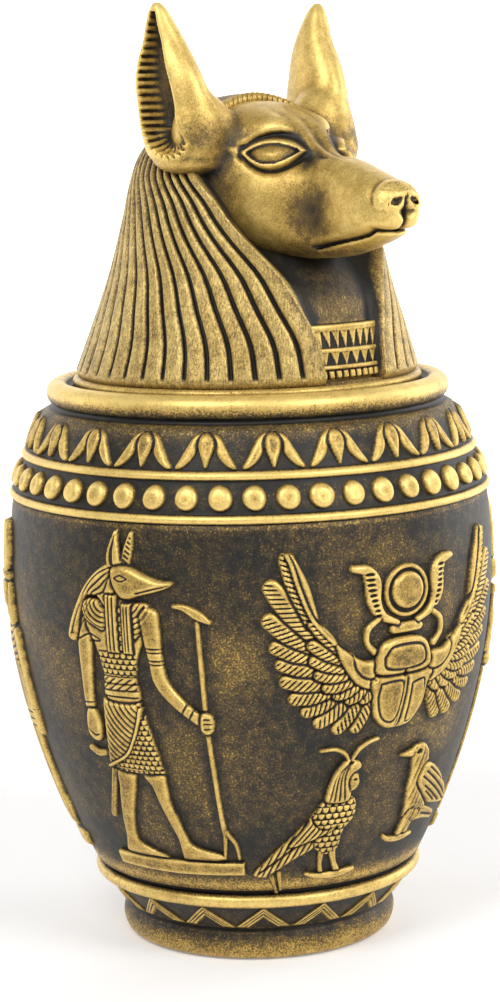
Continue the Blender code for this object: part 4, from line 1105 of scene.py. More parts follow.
def on_throat(u, v, h):
    """Teeth and bars are laid on the throat between the cloth's front edges."""
    edge = np.radians(eased(v, FACE_EDGE)) * 0.985
    angle = edge * u / 8.2
    angle = np.clip(angle, -edge, edge)
    radius = cloth_radius(v, angle) - LAPPET_DEPTH + h * 0.9
    return around(radius, angle, FLANGE_TOP + v)


def crown_band():
    """A roped band over the head from ear to ear."""
    along = np.linspace(-CORD_HALF, CORD_HALF, 150)
    sides = 14
    turns = np.arange(sides) * math.tau / sides
    rise = 57.2 - 0.024 * along ** 2
    forward = 4.3 + 0.010 * along ** 2
    ribs = np.abs(np.sin(math.pi * (along[:, None] / CORD_PITCH + 0.25 * np.sin(turns)[None, :])))
    tube = CORD_RADIUS * (0.52 + 0.48 * ribs ** 0.6) * smooth_step(np.abs(along), 11.2, 10.4)[:, None]
    x = np.broadcast_to(along[:, None], tube.shape)
    y = -(forward[:, None] + tube * np.cos(turns) * 1.15)
    z = FLANGE_TOP + rise[:, None] - tube * np.sin(turns)
    points = np.stack([x, y, z], -1).reshape(-1, 3)
    ends = [[along[k] + reach, -forward[k], FLANGE_TOP + rise[k]] for k, reach in ((0, -0.2), (-1, 0.2))]
    return np.concatenate([points, ends]), lathe_faces(len(along), sides)


# Jackal's head: a field of distances, negative inside, made into a closed skin

HEAD_TOP = (
    (-8, 52), (-2, 55.2), (4, 56.6), (11.2, 56.2), (16.1, 54.7), (20.2, 53), (23.6, 50.6),
    (26.3, 48.3), (29.8, 46.4), (33.5, 45.4), (38, 44.4), (42.5, 43.0), (49.6, 40.6), (53.2, 39.2),
    (55.0, 37.8),
)
HEAD_LOW = (
    (-8, 20), (10, 22), (18, 23.8), (22, 24.1), (30, 24.6), (37.4, 25.4), (44, 27.2), (49, 28.9),
    (52, 30.4), (55.0, 33),
)
HEAD_HALF = (
    (-8, 15), (0, 17.8), (5, 18.4), (10, 17.0), (16, 14.5), (20, 13.0), (24, 11.3), (28, 9.7),
    (32, 8.6), (38, 7.6), (44, 7.0), (48, 6.6), (51, 5.8), (53.5, 4.3), (55.0, 2.4),
)
EAR_SIDE = (
    (41, 18.6), (45, 19.2), (52, 19.2), (56.2, 19.2), (60.6, 19.8), (65, 20.1), (69, 20.2),
    (73.5, 21.0), (77.4, 21.7),
)
EAR_FORWARD = ((41, 6.6), (45, 5.2), (52, 3.2), (60.6, 1.5), (69, 0.3), (77.4, 0.0))
EAR_HALF = (
    (41.4, 0.8), (42.6, 4.6), (45.5, 7.6), (50, 8.9), (56.2, 9.3), (60.6, 8.7), (65, 7.1),
    (69.3, 5.0), (73.5, 3.0), (76.2, 1.6), (77.4, 0.5),
)
EAR_DEEP = (
    (41.4, 0.8), (42.6, 4.4), (45.5, 6.4), (50, 6.6), (56.2, 5.7), (60.6, 5.1), (65, 4.6),
    (69.3, 3.6), (73.5, 2.6), (76.2, 1.5), (77.4, 0.5),
)
EAR_TURN = math.radians(80)
EYE = (22.3, 10.6, 45.9)
EYE_TURN = math.radians(26.5)
EYE_HALF = 6.3
UPPER_LID = 2.75
LOWER_LID = 2.45
MOUTH_LINE = ((27, 30, 34, 38, 43, 47, 49.5, 55), (26.4, 26.9, 27.6, 28.3, 29.1, 29.9, 30.9, 30.2))
NOSTRIL = ((1.7, 54.9, 36.9, 0.85), (2.6, 54.4, 36.5, 1.0), (3.6, 53.4, 35.9, 0.6))
EAR_TIP = 77.2
EAR_FOOT = 41.6
BOWL = 51.5
BOWL_RADIUS = 6.2
HOLLOW_TOP = 75.4
EAR_HAIR_PITCH = 1.6
SNOUT = 0.885
NET_STEP = 0.385


def hump(value, width):
    return np.exp(-(value / width) ** 2)


def smooth_union(first, second, blend):
    mix = np.clip(0.5 + 0.5 * (second - first) / blend, 0, 1)
    return second + (first - second) * mix - blend * mix * (1 - mix)


def smooth_cut(solid, hole, blend):
    return -smooth_union(-solid, hole, blend)


def skull(x, f, z):
    """The head's bulk, from its top, underside and width along the way forward."""
    top, low, half = (eased(f, rows) for rows in (HEAD_TOP, HEAD_LOW, HEAD_HALF))
    middle = (top * 0.44 + low * 0.56)
    up = np.maximum(top - middle, 1e-3)
    down = np.maximum(middle - low, 1e-3)
    tall = np.where(z > middle, up, down)
    lower_jaw = 1 - 0.16 * smooth_step(middle - z, 0, 9) * smooth_step(f, 26, 40)
    ratio = (np.abs(x / (half * lower_jaw)) ** 2.35 + np.abs((z - middle) / tall) ** 2.25) ** (1 / 2.3)
    size = np.minimum(half, tall)
    end = np.maximum(f - 54.6, -8 - f)
    return np.maximum((ratio - 1) * size * 0.85, end)


def eye_place(x, f, z):
    """How far along and above the eye's middle a place lies, and how far inside its outline."""
    c, s = math.cos(EYE_TURN), math.sin(EYE_TURN)
    a = (f - EYE[0]) * c - (x - EYE[1]) * s
    b = z - EYE[2] - 0.02 * a - 0.012 * a ** 2
    room = np.clip(1 - (a / EYE_HALF) ** 2, 0, None)
    upper = UPPER_LID * room ** 0.85
    lower = -LOWER_LID * room ** 0.9
    inside = np.minimum(upper - b, b - lower)
    inside = np.where(np.abs(a) > EYE_HALF, -np.hypot(np.abs(a) - EYE_HALF, b), inside)
    return a, b, inside


def eye_detail(x, f, z):
    """Lids, eyeball and socket, as heights over the side of the head."""
    a, b, inside = eye_place(x, f, z)
    near = smooth_step(x, 3.0, 6.5)
    ball = 1.9 * np.clip(1 - (a / 5.2) ** 2 - (b / 2.5) ** 2, 0, None) ** 0.75
    height = smooth_step(inside, 0.3, 1.0) * (ball - 0.85)
    height += 0.70 * hump(inside - 0.05, 0.55)
    height -= 0.70 * hump(inside + 1.2, 0.60)
    height -= 1.8 * hump(a - 1.2, 7.0) * hump(b, 4.6) * smooth_step(inside, 0.3, -0.8)
    height -= 2.6 * hump(a - 7.8, 2.3) * hump(b - 0.8, 3.2) * smooth_step(inside, 0.2, -0.6)
    corner = hump(b + 0.15 * (a + 6.5) + 0.2, 0.7)
    height += 0.35 * corner * smooth_step(a, -5.5, -7.5) * smooth_step(a, -11, -8)
    height += 0.7 * hump(a - 0.5, 7.5) * hump(b - 6.6, 2.8)
    return height * near


def muzzle_detail(x, f, z):
    """Mouth line, cleft lip, nose pad, furrow of the brow and hollow of the cheek."""
    line = np.interp(f, *MOUTH_LINE)
    open_mouth = smooth_step(f, 29.5, 31.0)
    height = -1.0 * hump(z - line, 0.42) * open_mouth
    height += 0.12 * hump(z - line - 1.2, 0.8) * open_mouth + 0.15 * hump(z - line + 1.3, 0.9) * open_mouth
    pad_edge = 49.6 + 0.02 * x ** 2 + 0.30 * np.clip(38 - z, 0, 5)
    pad = smooth_step(f - pad_edge, -0.6, 1.2) * smooth_step(z, 34.4, 35.8)
    height += 0.38 * pad
    height -= 0.12 * hump(f - pad_edge + 0.7, 0.9) * smooth_step(z, 35.0, 36.5) * smooth_step(x, 1.0, 3.0)
    cleft = hump(x, 0.55) * smooth_step(f, 46, 49)
    height -= 1.25 * cleft * smooth_step(z, 38.6, 36.5) * smooth_step(z, 30.2, 31)
    height -= 1.1 * hump(x, 1.9) * hump(z - 34.3, 1.3) * smooth_step(f, 48, 51)
    height += 0.5 * hump(x - 2.6, 1.8) * hump(z - 32.8, 2.0) * smooth_step(f, 45, 50)
    height -= 0.65 * hump(x, 1.7) * hump(f - 27, 7.0) * smooth_step(z, 40, 44)
    height -= 0.75 * hump(x - 3.2, 1.5) * hump(f - 28.5 + 0.8 * (x - 3.2), 3.0) * smooth_step(z, 42, 45)
    height -= 1.5 * hump(f - 31, 6.0) * hump(z - 35.0, 6.0) * smooth_step(x, 2, 5)
    height += 0.8 * hump(f - 20, 7.5) * hump(z - 34, 7.0) * smooth_step(x, 4, 8)
    return height


def nostril(x, f, z):
    """A comma-shaped hole that runs out to the side of the nose pad."""
    best = np.full(x.shape, 1e9)
    for across, forward, up, wide in NOSTRIL:
        gap = np.sqrt((x - across) ** 2 + (f - forward) ** 2 + ((z - up) * 1.15) ** 2) - wide
        best = smooth_union(best, gap, 0.5)
    return best


def ear_frame(x, f, z):
    """Place in an ear: along its rim to rim line, out towards its opening, and its half sizes there."""
    side, forward, half, deep = (eased(z, rows) for rows in (EAR_SIDE, EAR_FORWARD, EAR_HALF, EAR_DEEP))
    c, s = math.cos(EAR_TURN), math.sin(EAR_TURN)
    along = (x - side) * c - (f - forward) * s
    out = (x - side) * s + (f - forward) * c
    return along, out, half, deep


def ear(x, f, z):
    """A tall pointed shell, open to the side, with rows of hair along its back edge."""
    along, out, half, deep = ear_frame(x, f, z)
    shell = (np.hypot(along / half, out / deep) - 1) * np.minimum(half, deep) * 0.9
    shell = np.maximum(shell, np.maximum(z - EAR_TIP, EAR_FOOT - z))
    wide = np.maximum(half * 0.66 - 0.5, 0.05)
    middle = 0.17 * half - 2.4 * smooth_step(z, 54, 46)
    turn = np.arctan2(z - 51, along - middle)
    run = np.where(z > 51, z, 51 + turn * 5.6)
    hair = np.clip(smooth_step((along - middle) / wide, 0.45, 0.75) + smooth_step(z, 49.5, 47.0), 0, 1)
    ribs = smooth_step(np.cos(math.tau * run / EAR_HAIR_PITCH), -0.6, 0.5)
    across_hole = np.hypot((along - middle) / wide, (out - deep * 0.90) / (deep * 1.25))
    hollow = (across_hole - 1) * np.minimum(wide, deep)
    floor = np.hypot(np.hypot(along - middle, out - deep * 0.9), z - BOWL) - BOWL_RADIUS
    hollow = np.where(z < BOWL, np.maximum(hollow, floor), hollow)
    hair_height = (0.80 + 0.35 * smooth_step(z, 50, 47)) * ribs * hair
    hollow += hair_height * hump(hollow, 3.0) * smooth_step(z, 76, 71)
    hollow = np.maximum(hollow, z - HOLLOW_TOP)
    return smooth_cut(shell, hollow, 0.45)


def drawn_forward(forward):
    """Where a spot on the snout lies in the tables of the head, whose snout is longer."""
    return np.where(forward > 30, 30 + (forward - 30) / SNOUT, forward)


def head_field(x, f, z):
    drawn = drawn_forward(f)
    bulk = skull(x, drawn, z)
    bulk -= eye_detail(x, f, z) + muzzle_detail(x, drawn, z)
    bulk = smooth_cut(bulk, nostril(x, drawn, z), 0.3)
    root = np.sqrt(((x - 15.5) / 6.5) ** 2 + ((f - 6.5) / 6.5) ** 2 + ((z - 50) / 8.5) ** 2) * 6.5 - 6.5
    bulk = smooth_union(bulk, root, 2.5)
    return smooth_union(bulk, ear(x, f, z), 1.6)


def surface_net(field, origin, step):
    """A closed skin of quads where a field changes sign."""
    shape = np.array(field.shape) - 1
    total = np.zeros((*shape, 3), np.float32)
    count = np.zeros(shape, np.float32)
    crossings = []
    for axis in range(3):
        low = [slice(None)] * 3
        high = [slice(None)] * 3
        low[axis], high[axis] = slice(0, -1), slice(1, None)
        first, second = field[tuple(low)], field[tuple(high)]
        crossed = (first < 0) != (second < 0)
        share = np.where(crossed, first / np.where(crossed, first - second, 1), 0)
        others = [k for k in range(3) if k != axis]
        for one in (0, 1):
            for two in (0, 1):
                cut = [slice(0, shape[axis])] * 3
                cut[others[0]] = slice(one, one + shape[others[0]])
                cut[others[1]] = slice(two, two + shape[others[1]])
                here = crossed[tuple(cut)]
                count += here
                total[..., axis] += share[tuple(cut)]
                total[..., others[0]] += here * one
                total[..., others[1]] += here * two
        crossings.append((crossed, first < 0))
    cells = np.nonzero(count)
    order = np.full(shape, -1)
    order[cells] = np.arange(len(cells[0]))
    points = np.stack(cells, -1) + total[cells] / count[cells][:, None]
    faces = []
    for axis, (crossed, inside_first) in enumerate(crossings):
        one, two = [(axis + 1) % 3, (axis + 2) % 3]
        spots = np.stack(np.nonzero(crossed), -1)
        spots = spots[(spots[:, one] > 0) & (spots[:, two] > 0)
                      & (spots[:, one] < shape[one]) & (spots[:, two] < shape[two])]
        ring = []
        for back_one, back_two in ((1, 1), (0, 1), (0, 0), (1, 0)):
            cell = spots.copy()
            cell[:, one] -= back_one
            cell[:, two] -= back_two
            ring.append(order[tuple(cell.T)])
        quads = np.stack(ring, -1)
        outward = inside_first[tuple(spots.T)]
        faces.append(np.where(outward[:, None], quads, quads[:, ::-1]))
    return points * step + origin, np.concatenate(faces)


def sample(field, places):
    """The field read between its grid points."""
    low = np.clip(np.floor(places).astype(int), 0, np.array(field.shape) - 2)
    share = places - low
    value = 0
    for corner in np.ndindex(2, 2, 2):
        weight = np.prod(np.where(corner, share, 1 - share), 1)
        value = value + weight * field[tuple((low + corner).T)]
    return value


def settle(points, field, origin, step, rounds=3):
    """Move points onto the field's zero level."""
    for _ in range(rounds):
        places = (points - origin) / step
        value = sample(field, places)
        slope = np.stack([(sample(field, places + way) - sample(field, places - way)) / (2 * step)
                          for way in np.eye(3)], -1)
        points = points - (value / np.maximum((slope ** 2).sum(1), 0.2))[:, None] * slope * 0.9
    return points


def jackal_head():
    side = np.arange(0, 30.6, NET_STEP)
    forward = np.arange(-13.5, 56.2, NET_STEP)
    up = np.arange(19.5, 78.4, NET_STEP)
    x, f, z = np.meshgrid(side, forward, up, indexing="ij")
    half = head_field(x, f, z).astype(np.float32)
    field = np.concatenate([half[:0:-1], half])
    field[:, :, 0] = np.abs(field[:, :, 0]) + 0.1
    origin = np.array([-side[-1], forward[0], up[0]])
    points, quads = surface_net(field, origin, NET_STEP)
    points = settle(points, field, origin, NET_STEP)
    pad = smooth_step(points[:, 1], 48.0, 49.2) * smooth_step(points[:, 2], 33.6, 35.4)
    points[:, 1] += pad * chance.normal(0, 0.035, len(points))
    points[:, 2] += pad * chance.normal(0, 0.045, len(points))
    placed = np.stack([points[:, 0], -points[:, 1], FLANGE_TOP + points[:, 2]], -1)
    return placed, points, quads[:, ::-1]


# Materials

class Wire:
    """A value in a material's node tree, with ordinary arithmetic."""

    def __init__(self, tree, socket):
        self.tree = tree
        self.socket = socket

    def maths(self, operation, *others):
        values = dict(enumerate((self, *others)))
        return self.tree.node("ShaderNodeMath", {"operation": operation}, values)

    def __add__(self, other):
        return self.maths("ADD", other)

    __radd__ = __add__

    def __sub__(self, other):
        return self.maths("SUBTRACT", other)

    def __rsub__(self, other):
        return (self * -1.0).maths("ADD", other)

    def __mul__(self, other):
        return self.maths("MULTIPLY", other)

    __rmul__ = __mul__

    def step(self, low, high):
        """A smooth step from 0 at low to 1 at high."""
        return self.tree.node("ShaderNodeMapRange", {"interpolation_type": "SMOOTHSTEP"},
                              {"Value": self, "From Min": low, "From Max": high}, "Result")


class Tree:
    """A material and the calls that add nodes to it."""

    def __init__(self, name):
        self.material = bpy.data.materials.new(name)
        self.material.use_nodes = True
        self.nodes = self.material.node_tree.nodes
        self.links = self.material.node_tree.links
        self.surface = self.nodes["Principled BSDF"]

    def put(self, socket, value):
        if isinstance(value, Wire):
            self.links.new(value.socket, socket)
        else:
            socket.default_value = value

    def node(self, kind, settings, values, out=0):
        """Add a node: its kind, its settings, then its inputs, by name or place."""
        made = self.nodes.new(kind)
        for key, value in settings.items():
            setattr(made, key, value)
        for key, value in values.items():
            self.put(made.inputs[key], value)
        return Wire(self, made.outputs[out])

    def value_of(self, attribute):
        return self.node("ShaderNodeAttribute", {"attribute_name": attribute}, {}, "Fac")

    def place(self):
        """Where on the object a spot lies, in metres."""
        return self.node("ShaderNodeTexCoord", {}, {}, "Object")

    def noise(self, size, stretch=(1, 1, 1), detail=3.0, roughness=0.55, shift=0.0):
        """Noise with grains about this many millimetres across, longer along a small stretch."""
        scale = tuple(1 / (size * MM) * along for along in stretch)
        where = self.place()
        for operation, amount in (("MULTIPLY", scale), ("ADD", (shift, shift, shift))):
            values = {0: where, 1: amount}
            where = self.node("ShaderNodeVectorMath", {"operation": operation}, values, "Vector")
        return self.node("ShaderNodeTexNoise", {}, {"Vector": where, "Scale": 1.0, "Detail": detail,
                                                    "Roughness": roughness}, "Fac")

    def blend(self, share, first, second):
        """A colour between two colours."""
        return self.node("ShaderNodeMix", {"data_type": "RGBA", "blend_type": "MIX"},
                         {0: share, 6: first, 7: second}, 2)

    def finish(self, colour, roughness, metallic, height, strength, distance):
        self.put(self.surface.inputs["Base Color"], colour)
        self.put(self.surface.inputs["Roughness"], roughness)
        self.put(self.surface.inputs["Metallic"], metallic)
        bumps = {"Strength": strength, "Distance": distance, "Height": height}
        normal = self.node("ShaderNodeBump", {}, bumps, "Normal")
        self.put(self.surface.inputs["Normal"], normal)
        return self.material


BLACK = (0.0085, 0.0084, 0.0072, 1)
BROWN = (0.0240, 0.0185, 0.0085, 1)
HAZE = (0.105, 0.068, 0.024, 1)
DULL_GOLD = (0.150, 0.094, 0.024, 1)
GOLD = (0.520, 0.340, 0.084, 1)
BRIGHT_GOLD = (0.880, 0.640, 0.205, 1)
GREY_GOLD = (0.330, 0.258, 0.115, 1)


def antique_gold(name, streak=(1, 1, 1), streaks=0.0, speckle=1.0, grey=0.0, shift=0.0):
    """Gold paint rubbed over black: bright on what stands proud, near black in the hollows."""
    tree = Tree(name)
    # Gold before wear, lowered where shade is painted in.
    gold_and_shade = tree.value_of("gold_and_shade")
    ridge = tree.value_of("ridge")
    swell = tree.value_of("swell")
    cloud = tree.noise(9.0, detail=4.0, shift=shift)
    blot = tree.noise(2.1, detail=4.0, roughness=0.6, shift=shift + 3.1)
    grain = tree.noise(0.42, detail=3.0, roughness=0.7, shift=shift + 7.7)
    brushed = tree.noise(1.0, stretch=streak, detail=3.0, roughness=0.6, shift=shift + 1.9)
    edges = ridge.maths("MINIMUM", 0.06).maths("MAXIMUM", 0.0) * 3.0
    grooves = ridge.maths("MINIMUM", 0.0).maths("MAXIMUM", -0.14) * 9.0
    rounds = swell.maths("MINIMUM", 0.25).maths("MAXIMUM", -0.60) * 0.9
    amount = gold_and_shade + edges + grooves + rounds
    amount = amount + (cloud - 0.5) * 0.45 + (blot - 0.5) * 0.60 + (brushed - 0.5) * streaks
    rubbed = amount + (grain - 0.5) * (2.3 * speckle)
    thin = rubbed.step(0.30, 0.62)
    full = rubbed.step(0.50, 0.90)
    bright = (amount + (grain - 0.5) * 0.9).step(0.78, 1.32)
    haze = (amount + (grain - 0.5) * 0.8).step(0.02, 0.62)
    ground = tree.blend(haze, tree.blend(blot.step(0.35, 0.75), BLACK, BROWN), HAZE)
    colour = tree.blend(thin, ground, DULL_GOLD)
    rubbed_gold = tree.blend((cloud.step(0.3, 0.7) * 0.5 + 0.5) * grey, GOLD, GREY_GOLD)
    colour = tree.blend(full, colour, rubbed_gold)
    colour = tree.blend(bright, colour, BRIGHT_GOLD)
    roughness = 0.52 - full * 0.12 + (grain - 0.5) * 0.2
    metallic = thin * 0.22 + full * 0.30
    height = grain * 0.6 + blot * 0.7 + brushed * streaks
    tree.put(tree.surface.inputs["Specular IOR Level"], 0.35)
    tree.put(tree.surface.inputs["Coat Weight"], 0.05)
    tree.put(tree.surface.inputs["Coat Roughness"], 0.38)
    return tree.finish(colour, roughness, metallic, height, 0.45, 0.00022)


on_jar = antique_gold("antique gold on the jar", streak=(0.25, 0.25, 4.0), streaks=0.18)
on_relief = antique_gold("antique gold on the reliefs", shift=11.0, speckle=0.5)
on_cloth = antique_gold("antique gold on the headcloth", streak=(3.2, 3.2, 0.22), streaks=0.95, speckle=0.5,
                        grey=0.6, shift=5.0)
on_head = antique_gold("antique gold on the head", shift=17.0, speckle=0.34)


# Jar

def panel_pieces():
    """Make the panels; return what is needed to darken the wall beside them."""
    halos = []
    for name, centre, extent, step, maker in PANELS:
        relief = Relief(*extent, step)
        maker(relief)
        points, faces, heights = relief.mesh_parts(on_body(centre))
        lift = 0.04 + 0.66 * smooth_step(heights, 0.1, 1.2)
        piece(name, points, faces, on_relief, "jar", lift)
        near = (relief.height > 0).astype(float)
        reach = int(HALO / step)
        for axis in (0, 1):
            room = [(reach + 1, reach) if k == axis else (0, 0) for k in (0, 1)]
            total = np.cumsum(np.pad(near, room), axis)
            stop = [slice(None)] * 2
            start = [slice(None)] * 2
            stop[axis], start[axis] = slice(2 * reach + 1, None), slice(0, -2 * reach - 1)
            near = (total[tuple(stop)] - total[tuple(start)]) / (2 * reach + 1)
        halos.append((centre, relief, near))
    return halos


def halo_at(halos, points):
    """How close each point of the wall is to a relief, from 0 to 1."""
    angle = np.arctan2(points[:, 0], -points[:, 1])
    shade = np.zeros(len(points))
    for centre, relief, near in halos:
        u = (angle - centre + math.pi) % math.tau - math.pi
        column = np.round((u * PANEL_RADIUS - relief.across[0]) / relief.step).astype(int)
        row = np.round((points[:, 2] - relief.up[0]) / relief.step).astype(int)
        inside = (column >= 0) & (column < near.shape[1]) & (row >= 0) & (row < near.shape[0])
        found = near[np.clip(row, 0, near.shape[0] - 1), np.clip(column, 0, near.shape[1] - 1)]
        shade = np.maximum(shade, found * inside)
    return smooth_step(shade, 0.0, 0.55)


def patches(points, count, size):
    """Soft blots scattered over the jar."""
    total = np.zeros(len(points))
    for _ in range(count):
        angle, level = chance.uniform(0, math.tau), chance.uniform(WALL_FOOT, SHOULDER)
        middle = around(wall_radius(level), angle, level)
        wide = size * chance.uniform(0.5, 1.5)
        total += chance.uniform(0.4, 1.0) * np.exp(-((points - middle) ** 2).sum(1) / wide ** 2)
    return total


def vessel(halos):
    """The turned body; its gold follows rings, bands and wall, darkened beside the reliefs by patina and
    painted shade.
    """
    profile = vessel_profile()
    points = turned_points(profile, VESSEL_SIDES, 0.35, FLOOR)
    level = points[:, 2]
    reach = np.hypot(points[:, 0], points[:, 1])
    ledge_row = next(index for index, spot in enumerate(profile) if abs(spot[1] - LEDGE) < 1e-6)
    row = np.append(np.repeat(np.arange(len(profile)), VESSEL_SIDES), (0, len(profile) - 1))
    outside = row < ledge_row
    gold_and_shade = np.where(outside, 0.08, 0.05)
    wall = outside & (level > WALL_FOOT) & (level < SHOULDER)
    # Patina and painted shade on the wall beside the reliefs.
    shade = halo_at(halos, points)
    on_wall = -0.05 + 0.31 * np.clip(patches(points, 44, 11.0), 0, 1.2) * (1 - shade) - 0.16 * shade
    on_wall = np.maximum(on_wall, 0.40 * smooth_step(level, WALL_FOOT + 5.0, WALL_FOOT + 1.5)
                         * smooth_step(level, WALL_FOOT + 0.1, WALL_FOOT + 0.9))
    gold_and_shade = np.where(wall, on_wall, gold_and_shade)
    for middle, half, shine in ((ZIGZAG_TOP + 1.4, 1.6, 0.72),
                                (SHOULDER + 0.1 + RING_HEIGHT / 2, 1.0, 0.80),
                                (BEAD_BAND_TOP + RING_HEIGHT / 2, 1.0, 0.80)):
        on_ring = shine * smooth_step(np.abs(level - middle), half, half * 0.55)
        gold_and_shade = np.where(outside, np.maximum(gold_and_shade, on_ring), gold_and_shade)
    for low, high, shine in ((BEAD_BAND_FOOT, BEAD_BAND_TOP, 0.0), (LOTUS_FOOT, LOTUS_TOP, 0.0),
                             (FOOT_HEIGHT + 0.3, ZIGZAG_TOP, 0.10)):
        gold_and_shade = np.where(outside & (level > low) & (level < high), shine, gold_and_shade)
    foot = outside & (level <= FOOT_HEIGHT + 0.3) & (reach > FOOT_RADIUS - 1.0)
    smears = 0.22 * patches(points, 30, 9.0) * smooth_step(level, 0.5, 2.5)
    foot_shine = 0.02 + 0.42 * smooth_step(level, FOOT_HEIGHT - 0.4, FOOT_HEIGHT * 0.35)
    gold_and_shade = np.where(foot, foot_shine - smears, gold_and_shade)
    on_rim = (level > LOTUS_TOP + 0.6) & (outside | (level > LEDGE))
    turn = np.arctan2(level - RIM_MIDDLE, reach - RIM_RADIUS + RIM_THICKNESS / 2)
    gold_and_shade = np.where(on_rim, 0.06 + 0.76 * smooth_step(turn, -0.60, 0.35), gold_and_shade)
    faces = lathe_faces(len(profile), VESSEL_SIDES)
    piece("jar_vessel", points, faces, on_jar, "jar", gold_and_shade)


vessel(panel_pieces())

points, faces, lift = ring_of_reliefs(lotus_relief(), LOTUS_COUNT, 0.0, shoulder_radius)
fade = smooth_step(points[:, 2], LOTUS_TOP + 0.2, LOTUS_TOP - 2.2)
lift = 0.02 + 0.58 * smooth_step(lift, 0.12, 0.7) * (0.35 + 0.65 * fade)
piece("jar_lotus_band", points, faces, on_relief, "jar", lift)

points, faces, lift = ring_of_reliefs(zigzag_relief(), ZIGZAG_COUNT, ZIGZAG_TURN, foot_radius)
lift = 0.10 + 0.60 * smooth_step(lift, 0.1, 0.75)
piece("jar_zigzag_band", points, faces, on_relief, "jar", lift)

points, faces = bead_points()
lift = np.hypot(points[:, 0], points[:, 1]) - shoulder_radius(points[:, 2])
lift = 0.10 + 0.70 * smooth_step(lift, 0.1, 1.1)
piece("jar_beads", points, faces, on_relief, "jar", lift)


# Lid

profile = lid_foot_profile()
points = turned_points(profile, LID_SIDES, FLANGE_FOOT - SPIGOT_DEPTH, FLANGE_TOP - 0.3)
reach = np.hypot(points[:, 0], points[:, 1])
lift = np.where((points[:, 2] > FLANGE_FOOT + 0.2) & (reach > NEMES_RADIUS - 0.2), 0.6, 0.08)
piece("lid_foot", points, lathe_faces(len(profile), LID_SIDES), on_jar, "lid", lift)

points, faces, lift = striped_cloth()
piece("lid_headcloth", points, faces, on_cloth, "lid", lift)

points, faces, lift = collar_relief().mesh_parts(on_throat)
lift = 0.12 + 0.68 * smooth_step(lift, 0.2, 0.6)
piece("lid_collar", points, faces, on_relief, "lid", lift)

points, faces = crown_band()
piece("lid_crown_band", points, faces, on_relief, "lid", np.full(len(points), 0.46))


def head_gold_and_shade(side, forward, up):
    """How much gold the head holds, lowered by patina and painted shade: dark in the cheek, under the jaw,
    behind the cheek, in sockets, mouth and ears.
    """
    lift = np.full(len(side), 0.96)
    # Painted shade over the patina: in the cheek's hollow, under the jaw, behind the cheek and beneath the
    # ear.
    lift -= 0.62 * hump(forward - 31, 6.0) * hump(up - 33.5, 6.5) * smooth_step(side, 3, 6)
    lift -= 0.45 * smooth_step(up, 29.5, 25.5)
    lift -= 0.62 * smooth_step(forward, 21, 11) * smooth_step(up, 47, 38)
    lift -= 0.42 * hump(forward - 12, 4.5) * hump(up - 48, 5.5)
    lift -= 0.52 * hump(forward - 28, 6.0) * hump(side - 3.0, 2.0) * smooth_step(up, 43, 46)
    along, above, inside = eye_place(side, forward, up)
    # Painted shade in the eye sockets.
    socket = 1.5 * hump(along - 7.2, 3.0) * hump(above - 0.9, 3.6)
    socket = socket + 0.9 * hump(along - 1.5, 5.5) * hump(above - 3.3, 1.2)
    lift -= socket * smooth_step(inside, 0.1, -0.7) * smooth_step(side, 3.0, 5.0)
    lift -= 0.42 * smooth_step(inside, 0.3, 0.9)
    drawn = drawn_forward(forward)
    lift -= 0.9 * hump(up - np.interp(drawn, *MOUTH_LINE), 0.28) * smooth_step(drawn, 29.0, 31.0)
    cleft = hump(side, 0.7) * smooth_step(drawn, 46, 49)
    lift -= 1.0 * cleft * smooth_step(up, 37.0, 36.0) * smooth_step(up, 30, 31)
    along, out, half, deep = ear_frame(side, forward, up)
    # Painted shade in the ear's hollow.
    ear_shade = smooth_step(out / deep, 0.62, 0.30) * smooth_step(along / half, -0.20, 0.15)
    ear_shade = ear_shade * smooth_step(along / half, 0.80, 0.55) * smooth_step(up, 43, 46)
    ear_shade = ear_shade * smooth_step(out / deep, -0.6, -0.4)
    return lift - 0.40 * ear_shade


points, places, faces = jackal_head()
lift = head_gold_and_shade(np.abs(places[:, 0]), places[:, 1], places[:, 2])
piece("lid_jackal_head", points, [faces], on_head, "lid", lift)


# Stage, light and camera

CAMERA_TURN = math.radians(-38.65)
CAMERA_PITCH = math.radians(8.81)
CAMERA_ROLL = math.radians(-1.29)
CAMERA_AWAY = 0.5556
CAMERA_HEIGHT = 0.1798
CAMERA_LENS = 93.02
PAPER_HALF = 1.6
PAPER_FRONT = -1.2
PAPER_BACK = 0.9
PAPER_BEND = 0.5
SKY_STRENGTH = 0.26


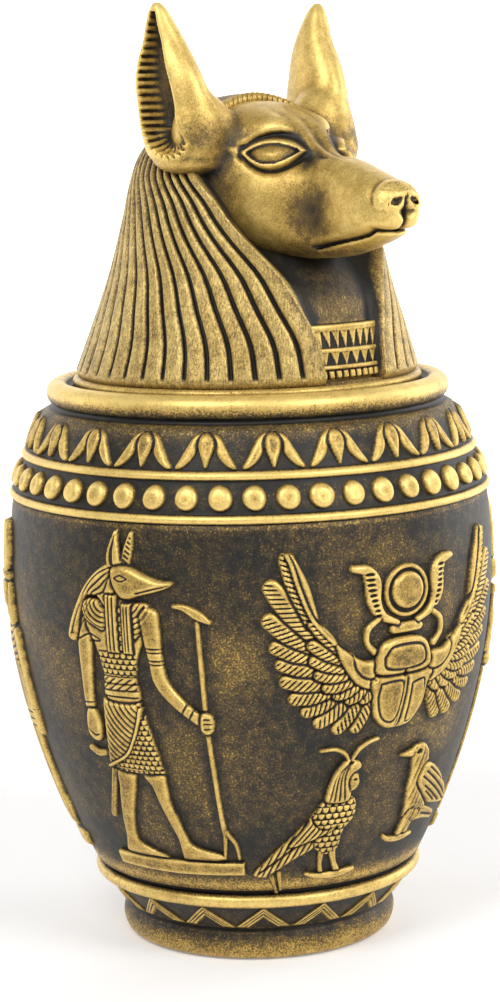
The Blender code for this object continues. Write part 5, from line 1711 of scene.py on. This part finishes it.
def backdrop():
    """White paper: flat under the jar, swept up and evenly lit behind it."""
    tree = Tree("pale studio paper")
    grain = tree.noise(2.0, detail=2.0)
    shade = tree.blend(grain, (0.80, 0.79, 0.78, 1), (0.84, 0.83, 0.82, 1))
    position = tree.node("ShaderNodeSeparateXYZ", {}, {0: tree.place()}, "Y")
    lit = position.step(0.10, 0.55)
    glow = tree.blend(lit, (0.22, 0.22, 0.225, 1), (1.0, 1.0, 1.0, 1))
    tree.put(tree.surface.inputs["Emission Color"], glow)
    tree.put(tree.surface.inputs["Emission Strength"], 1.0)
    paper = tree.finish(shade, 0.7, 0.0, grain, 0.02, 0.0001)
    turns = np.linspace(0, math.pi / 2, 16)
    bend = [(PAPER_BACK + PAPER_BEND * math.sin(turn), PAPER_BEND - PAPER_BEND * math.cos(turn))
            for turn in turns]
    path = [(PAPER_FRONT, 0.0), *bend, (PAPER_BACK + PAPER_BEND, 1.6)]
    points = [(x, y, z) for y, z in path for x in (-PAPER_HALF, PAPER_HALF)]
    mesh = mesh_from("backdrop", np.array(points) / MM, [grid_faces(len(path), 2)])
    mesh.materials.append(paper)
    item = bpy.data.objects.new("backdrop", mesh)
    item.matrix_world = Matrix.Rotation(CAMERA_TURN, 4, "Z") @ Matrix.Translation((0, 0, -0.0003))
    bpy.context.scene.collection.objects.link(item)


backdrop()

world = bpy.data.worlds.new("studio")
world.use_nodes = True
sky = world.node_tree.nodes["Background"]
sky.inputs["Color"].default_value = (1.0, 1.0, 1.0, 1)
sky.inputs["Strength"].default_value = SKY_STRENGTH
bpy.context.scene.world = world


def seen_from(angle, away, height):
    """A spot this far from the axis, at an angle counted from the camera's side."""
    turn = CAMERA_TURN + math.radians(angle)
    return Vector((away * math.sin(turn), -away * math.cos(turn), height))


def lamp(name, spot, aim, size, power):
    data = bpy.data.lights.new(name, "AREA")
    data.shape = "RECTANGLE"
    data.size, data.size_y = size
    data.energy = power
    item = bpy.data.objects.new(name, data)
    item.location = spot
    item.rotation_euler = (Vector(aim) - spot).to_track_quat("-Z", "Y").to_euler()
    bpy.context.scene.collection.objects.link(item)


lamp("key", seen_from(-28, 0.72, 0.85), (0, 0, 0.12), (0.40, 0.40), 5.2)
lamp("fill", seen_from(45, 0.80, 0.62), (0, 0, 0.14), (0.4, 0.5), 4.6)
lamp("left rim", seen_from(-105, 0.75, 0.25), (0, 0, 0.10), (0.3, 0.7), 1.5)
lamp("right rim", seen_from(112, 0.75, 0.25), (0, 0, 0.10), (0.3, 0.7), 2.6)

view = bpy.data.cameras.new("camera")
view.lens = CAMERA_LENS
view.sensor_width = 36
view.clip_start = 0.01
camera = bpy.data.objects.new("camera", view)
camera.matrix_world = (Matrix.Translation(seen_from(0, CAMERA_AWAY, CAMERA_HEIGHT))
                       @ Matrix.Rotation(CAMERA_TURN, 4, "Z")
                       @ Matrix.Rotation(math.pi / 2 - CAMERA_PITCH, 4, "X")
                       @ Matrix.Rotation(CAMERA_ROLL, 4, "Z"))
bpy.context.scene.collection.objects.link(camera)
bpy.context.scene.camera = camera
bpy.context.scene.view_settings.view_transform = "Standard"
